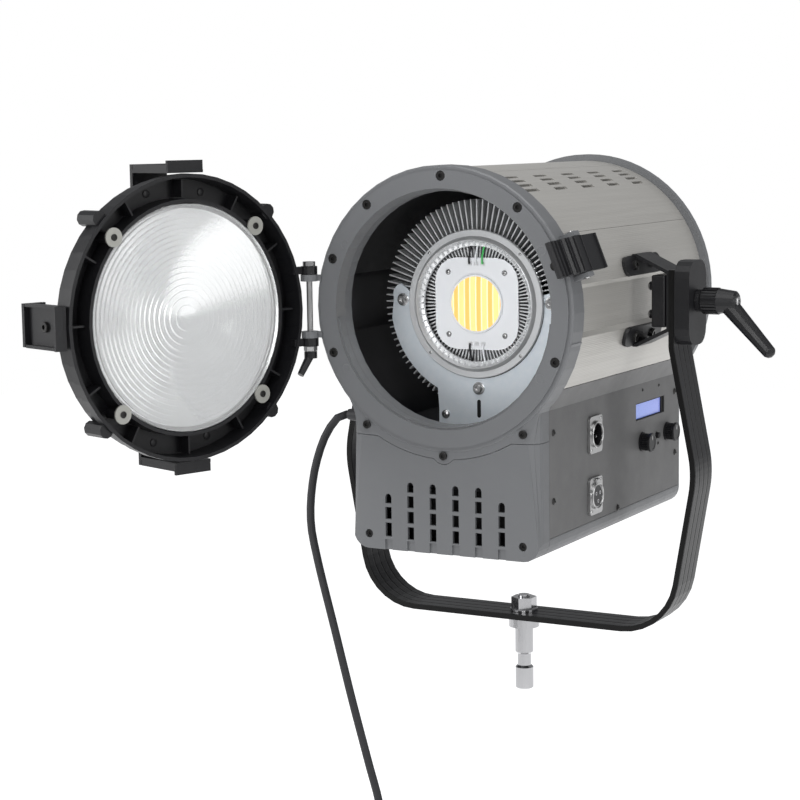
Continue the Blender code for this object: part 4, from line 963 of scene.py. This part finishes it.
def make_latch_ridges(materials):
    """Ridges across the latch: thin ones at its nose, a step before the pin and a lip at its tail."""
    place = latch_frame()
    bm = bmesh.new()
    ridges = (((-0.0048, -0.0335), (-0.0016, -0.0321)), ((-0.0034, -0.0254), (0.0004, -0.0240)),
              ((-0.0004, -0.0184), (0.0030, -0.0170)), ((0.0030, -0.0108), (0.0060, -0.0092)),
              ((0.0046, 0.0020), (0.0060, 0.0034)), ((0.0050, 0.0262), (0.0078, 0.0280)))
    for (low_x, low_y), (high_x, high_y) in ridges:
        add_box(bm, (low_x, low_y, -0.0144), (high_x, high_y, 0.0144), place)
    finish_piece(bm, "latch_ridges", materials["black"], "latch", bevel=0.0004)
    ends = bmesh.new()
    for side in (1, -1):
        head = [(0.0026, side * 0.0187), (0.0026, side * 0.0194), (0.0, side * 0.0196)]
        add_turned(ends, head, place, steps=28)
    finish_piece(ends, "latch_pin_heads", materials["steel"], "head")


# Barrel and rear

def lining_outline(inset):
    """The inside of the barrel from its right foot over the top to its left foot, with both side channels."""
    radius = BARREL_R - 0.0028 - inset
    channel = BARREL_R - 0.0055 - 0.0028 - inset
    wall = BOX_HALF - 0.0026 - inset
    right = [(wall, -0.1000), (wall, -0.0800), (wall + 0.0096, -0.0637)]
    right += arc(radius, -33.0, -12.5, 6)
    right += [(channel, -0.0190), (channel, 0.0190)]
    right += arc(radius, 12.5, 90.0, 24)
    return right + [(-x, z) for x, z in reversed(right[:-1])]


def make_barrel_lining(materials):
    outline = lining_outline(0.0002) + list(reversed(lining_outline(0.0006)))
    bm = bmesh.new()
    add_prism(bm, outline, -0.2890, -0.0225, front_frame())
    finish_piece(bm, "barrel_lining", materials["liner"], "head")


def make_rear_details(materials):
    """A ledge that closes the box behind the flange, and a wire guard with four screws over the fan."""
    ledge = bmesh.new()
    add_box(ledge, (-0.0925, FLANGE_END - 0.0070, -0.0642), (0.0925, BOX_END - 0.0001, -0.0628),
            Matrix.Translation(light(0, 0, 0)))
    finish_piece(ledge, "rear_ledge", materials["grey"], "head")
    place = front_frame(FLANGE_END + 0.0011)
    wires = bmesh.new()
    for radius in (0.0150, 0.0260, 0.0370, 0.0480, 0.0575):
        wire = [(radius + 0.0008 * x, 0.0008 * y) for x, y in ((1, 0), (0, 1), (-1, 0), (0, -1))]
        add_turned(wires, wire, place, steps=96, closed=True)
    for spoke in around(place, 4, 45):
        add_rod(wires, (0.0145, 0, -0.0012), (0.0660, 0, -0.0012), 0.0009, spoke, segments=10)
    finish_piece(wires, "fan_guard", materials["screw"], "head")
    flip = Matrix.Rotation(math.pi, 4, "X")
    rear = front_frame(FLANGE_END)
    screws = [moved(rear, *polar(FAN_SCREW_R, 45 + 90 * number)) @ flip for number in range(4)]
    make_screws(add_dome_screw, "fan_guard_screws", screws, (0.0034, 0.0020, 0.0013),
                materials, "screw", "head")


# Door pieces

def make_lens(materials):
    """A stepped lens: about two dozen rings, each a sloped face and a short riser, round a small dome."""
    bm = bmesh.new()
    place = door_frame()
    edge, back = 0.0896, 0.0030
    first, last, rings = 0.0100, 0.0860, 17
    profile = [(0.0, back), (edge, back), (edge, 0.0096), (0.0860, 0.0098)]
    for ring in range(rings - 1, -1, -1):
        outer = first + (last - first) * ((ring + 1) / rings) ** 0.88
        inner = first + (last - first) * (ring / rings) ** 0.88
        height = 0.0014 + 0.0026 * ring / rings
        profile += [(outer, 0.0094 - height), (inner + 0.0002, 0.0094)]
    profile += [(first, 0.0086), (first * 0.7, 0.0097), (first * 0.35, 0.0103), (0.0, 0.0105)]
    add_turned(bm, profile, place, steps=128)
    lens = finish_piece(bm, "stepped_lens", materials["glass"], "door")
    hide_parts("fresnel_lens")


def make_door_detail(materials):
    """Round ejector marks on the floor, ribs across the annular channel, and the clamp screws."""
    place = door_frame()
    marks = bmesh.new()
    profile = [(0.0030, 0.0199), (0.0030, 0.0192), (0.0026, 0.0190), (0.0, 0.0190)]
    for number in range(12):
        add_turned(marks, profile, moved(place, *polar(0.1013, 15 + 30 * number)), steps=24)
    for rib in around(place, 12):
        add_box(marks, (0.0945, -0.0008, 0.0080), (0.1085, 0.0008, 0.0199), rib)
    finish_piece(marks, "door_ribs", materials["black"], "door")
    flip = Matrix.Rotation(math.pi, 4, "X")
    spots = [polar(CLAMP_SCREW_R, CLAMP_SCREW_ANGLE + 90 * number) for number in range(4)]
    screws = [moved(place, x, y, 0.0010) @ flip for x, y in spots]
    make_screws(add_hex_screw, "clamp_screws", screws, (0.0027, 0.0008, 0.0017),
                materials, "screw", "door")


def make_clip_screws(materials):
    for degrees, name in ((90, "clip_top_screw"), (0, "clip_far_screw"), (-90, "clip_bottom_screw")):
        place = moved(door_tangent_frame(degrees), -0.0270, 0.0, CLIP_SCREW_R)
        make_screws(add_hex_screw, name, [place], (0.0042, 0.0026, 0.0021), materials, "screw", "door")


# LED engine

def engine_place(forward=0.0):
    return moved(front_frame(ENGINE_BACK), 0.0, 0.0, forward)


def make_bezel(materials):
    """A satin ring with a cone inside it, an inner slotted ring and four small screws."""
    place = engine_place()
    bm = bmesh.new()
    add_turned(bm, [(0.0615, -0.0018), (0.0615, 0.0008), (0.0609, 0.0014), (0.0560, 0.0016), (0.0556, 0.0020),
                    (0.0548, 0.0032), (0.0535, 0.0046), (0.0530, 0.0048), (0.0524, 0.0040), (0.0515, 0.0012),
                    (0.0505, 0.0002), (0.0480, -0.0006), (0.0474, -0.0018)], place, steps=160)
    bezel = finish_piece(bm, "engine_bezel", materials["satin"], "engine")
    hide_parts("led_bezel")
    slots = bmesh.new()
    for louvre in around(place, 60):
        add_box(slots, (0.0482, -0.0006, -0.0010), (0.0522, 0.0006, 0.0016), louvre)
    finish_piece(slots, "bezel_louvres", materials["aluminium"], "engine")
    screws = [moved(place, *polar(0.0586, 45 + 90 * number), 0.0014) for number in range(4)]
    make_screws(add_dome_screw, "bezel_screws", screws, (0.0014, 0.0007, 0.0006),
                materials, "steel", "engine")


def make_board_detail(materials):
    """Corner screws, solder pads and short wires on the white board."""
    place = engine_place(BOARD_FACE)
    screws = [moved(place, sx * 0.0258, sy * 0.0258) for sx, sy in ((1, 1), (-1, 1), (-1, -1), (1, -1))]
    make_screws(add_dome_screw, "board_screws", screws, (0.0024, 0.0016, 0.0010),
                materials, "steel", "engine")
    pads = bmesh.new()
    for sy in (1, -1):
        for x in (-0.0060, 0.0, 0.0060):
            add_box(pads, (-0.0020, -0.0015, 0.0), (0.0020, 0.0015, 0.0003), moved(place, x, sy * 0.0330))
    finish_piece(pads, "solder_pads", materials["aluminium"], "engine")
    for name, finish, x, sy in (("wire_black", "rubber", -0.0060, 1), ("wire_white", "white", 0.0, 1),
                                ("wire_green", "green", 0.0060, 1), ("wire_dark", "rubber", -0.0060, -1),
                                ("wire_pale", "white", 0.0060, -1)):
        start = Vector((x, sy * 0.0330, 0.0008))
        path = [start + Vector((along, sy * out, up)) for along, out, up in WIRE_STEPS]
        wire = bmesh.new()
        add_tube(wire, [place @ point for point in smooth_route(path, 0.0012)], 0.0008, 10)
        finish_piece(wire, name, materials[finish], "engine")


def make_emitter(materials):
    """A low dam round a slightly domed patch of phosphor."""
    place = engine_place(BOARD_FACE)
    dome = bmesh.new()
    add_turned(dome, [(0.0, 0.0016), (0.0100, 0.00155), (0.0180, 0.0014), (0.0226, 0.0010), (0.0228, 0.0004),
                      (0.0, 0.0003)], place, steps=96)
    disc = finish_piece(dome, "phosphor_disc", materials["phosphor"], "engine")
    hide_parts("led_emitter")
    dam = bmesh.new()
    add_turned(dam, [(0.0226, 0.0), (0.0226, 0.0013), (0.0231, 0.0017), (0.0239, 0.0017), (0.0243, 0.0012),
                     (0.0244, 0.0)], place, steps=96)
    finish_piece(dam, "emitter_dam", materials["white"], "engine")


def make_carrier_screws(materials):
    """Screws on washers that hold the zinc plate, a domed screw, and a slot near its foot drawn as a thin
    dark sheet of painted shade.
    """
    place = engine_place(CARRIER_FACE)
    washers = bmesh.new()
    washer = [(0.0052, 0.0), (0.0052, 0.0009), (0.0048, 0.0011), (0.0024, 0.0011)]
    for x, z in CARRIER_SCREWS:
        add_turned(washers, washer, moved(place, x, z), steps=36)
    finish_piece(washers, "carrier_washers", materials["steel"], "engine")
    screws = [moved(place, x, z, 0.0011) for x, z in CARRIER_SCREWS]
    make_screws(add_hex_screw, "carrier_screws", screws, (0.0036, 0.0028, 0.0018),
                materials, "steel", "engine")
    domed = [moved(place, -0.0290, -0.0930)]
    make_screws(add_dome_screw, "carrier_dome_screw", domed, (0.0038, 0.0022, 0.0013),
                materials, "steel", "engine")
    # Painted shade: the slot is a thin dark sheet on the plate, standing in for the shade inside it.
    slot = bmesh.new()
    add_prism(slot, rounded_box(0.0034, 0.0150, 0.0016), 0.0, 0.00015, moved(place, 0.0020, -0.0870))
    finish_piece(slot, "carrier_slot_painted_shade", materials["dark"], "engine")


def make_fins(materials):
    """Thin upright fins round a core, and a dark plate behind them as painted shade between the fins."""
    place = engine_place()
    fins = bmesh.new()
    for fin in around(place, 96):
        add_box(fins, (0.0330, -0.00055, -0.0478), (0.0858, 0.00055, -0.0042), fin)
    add_turned(fins, [(0.0, -0.0478), (0.0340, -0.0478), (0.0340, -0.0042), (0.0, -0.0042)], place, steps=64)
    piece = finish_piece(fins, "heatsink_fins", materials["aluminium"], "engine")
    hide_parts("heatsink")
    # Painted shade: the dark plate behind the fins stands in for the shade deep between them.
    back = bmesh.new()
    add_turned(back, [(0.0345, -0.0470), (0.0850, -0.0470), (0.0850, -0.0440), (0.0345, -0.0440)], place,
               steps=96, closed=True)
    finish_piece(back, "heatsink_back_painted_shade", materials["dark"], "engine")


# Tilt parts

def make_bracket_screws(materials):
    """Two socket screws in each wing of each bracket, and the two domed bolts of each clamp block."""
    screws = []
    for middle in (0.0, 180.0):
        for angle in (middle + BRACKET_SCREW_ANGLE, middle - BRACKET_SCREW_ANGLE):
            screws += [tangent_frame(BRACKET_FACE_R, angle, back) for back in BRACKET_SCREW_BACKS]
    make_screws(add_hex_screw, "bracket_screws", screws, (0.0040, 0.0026, 0.0020), materials, "screw", "head")
    flip = Matrix.Rotation(math.pi, 4, "X")
    bolts = []
    for side in (1, -1):
        for z in (CLAMP_BOLT_Z, -CLAMP_BOLT_Z):
            bolts.append(side_frame(side * CLAMP_FACE_X, PIVOT_BACK - 0.0060, z, side=side) @ flip)
    make_screws(add_dome_screw, "clamp_bolt_domes", bolts, (0.0037, 0.0022, 0.0012),
                materials, "chrome", "head")


def make_lever_ribs(materials):
    """Ribs along the lever's hub and a steel cap screw in its end."""
    place = side_frame(0.0, PIVOT_BACK, 0.0)
    bm = bmesh.new()
    for rib in around(place, 24):
        add_box(bm, (0.0098, -0.0006, 0.1660), (0.0111, 0.0006, 0.1786), rib)
    finish_piece(bm, "lever_hub_ribs", materials["plastic"], "tilt_lock")
    make_screws(add_hex_screw, "lever_cap_screw", [moved(place, 0, 0, 0.1944)], (0.0044, 0.0014, 0.0018),
                materials, "steel", "tilt_lock")


def main():
    make_camera()
    make_lights()
    look()
    make_floor()
    materials = make_materials()
    make_power_cord(materials)
    dress_cad_nodes(materials)
    make_face_screws(materials)
    make_panel_screws(materials)
    make_knob("focus_knob", "focus", *FOCUS_KNOB, materials)
    make_knob("dimmer_knob", "dimmer", *DIMMER_KNOB, materials)
    make_socket_detail("socket_in_insert", SOCKET_IN_Z, True, materials)
    make_socket_detail("socket_out_insert", SOCKET_OUT_Z, False, materials)
    make_display_frame(materials)
    make_latch_ridges(materials)
    make_rear_details(materials)
    make_lens(materials)
    make_door_detail(materials)
    make_clip_screws(materials)
    make_barrel_lining(materials)
    make_fins(materials)
    make_bezel(materials)
    make_board_detail(materials)
    make_emitter(materials)
    make_carrier_screws(materials)
    make_bracket_screws(materials)
    make_lever_ribs(materials)


main()
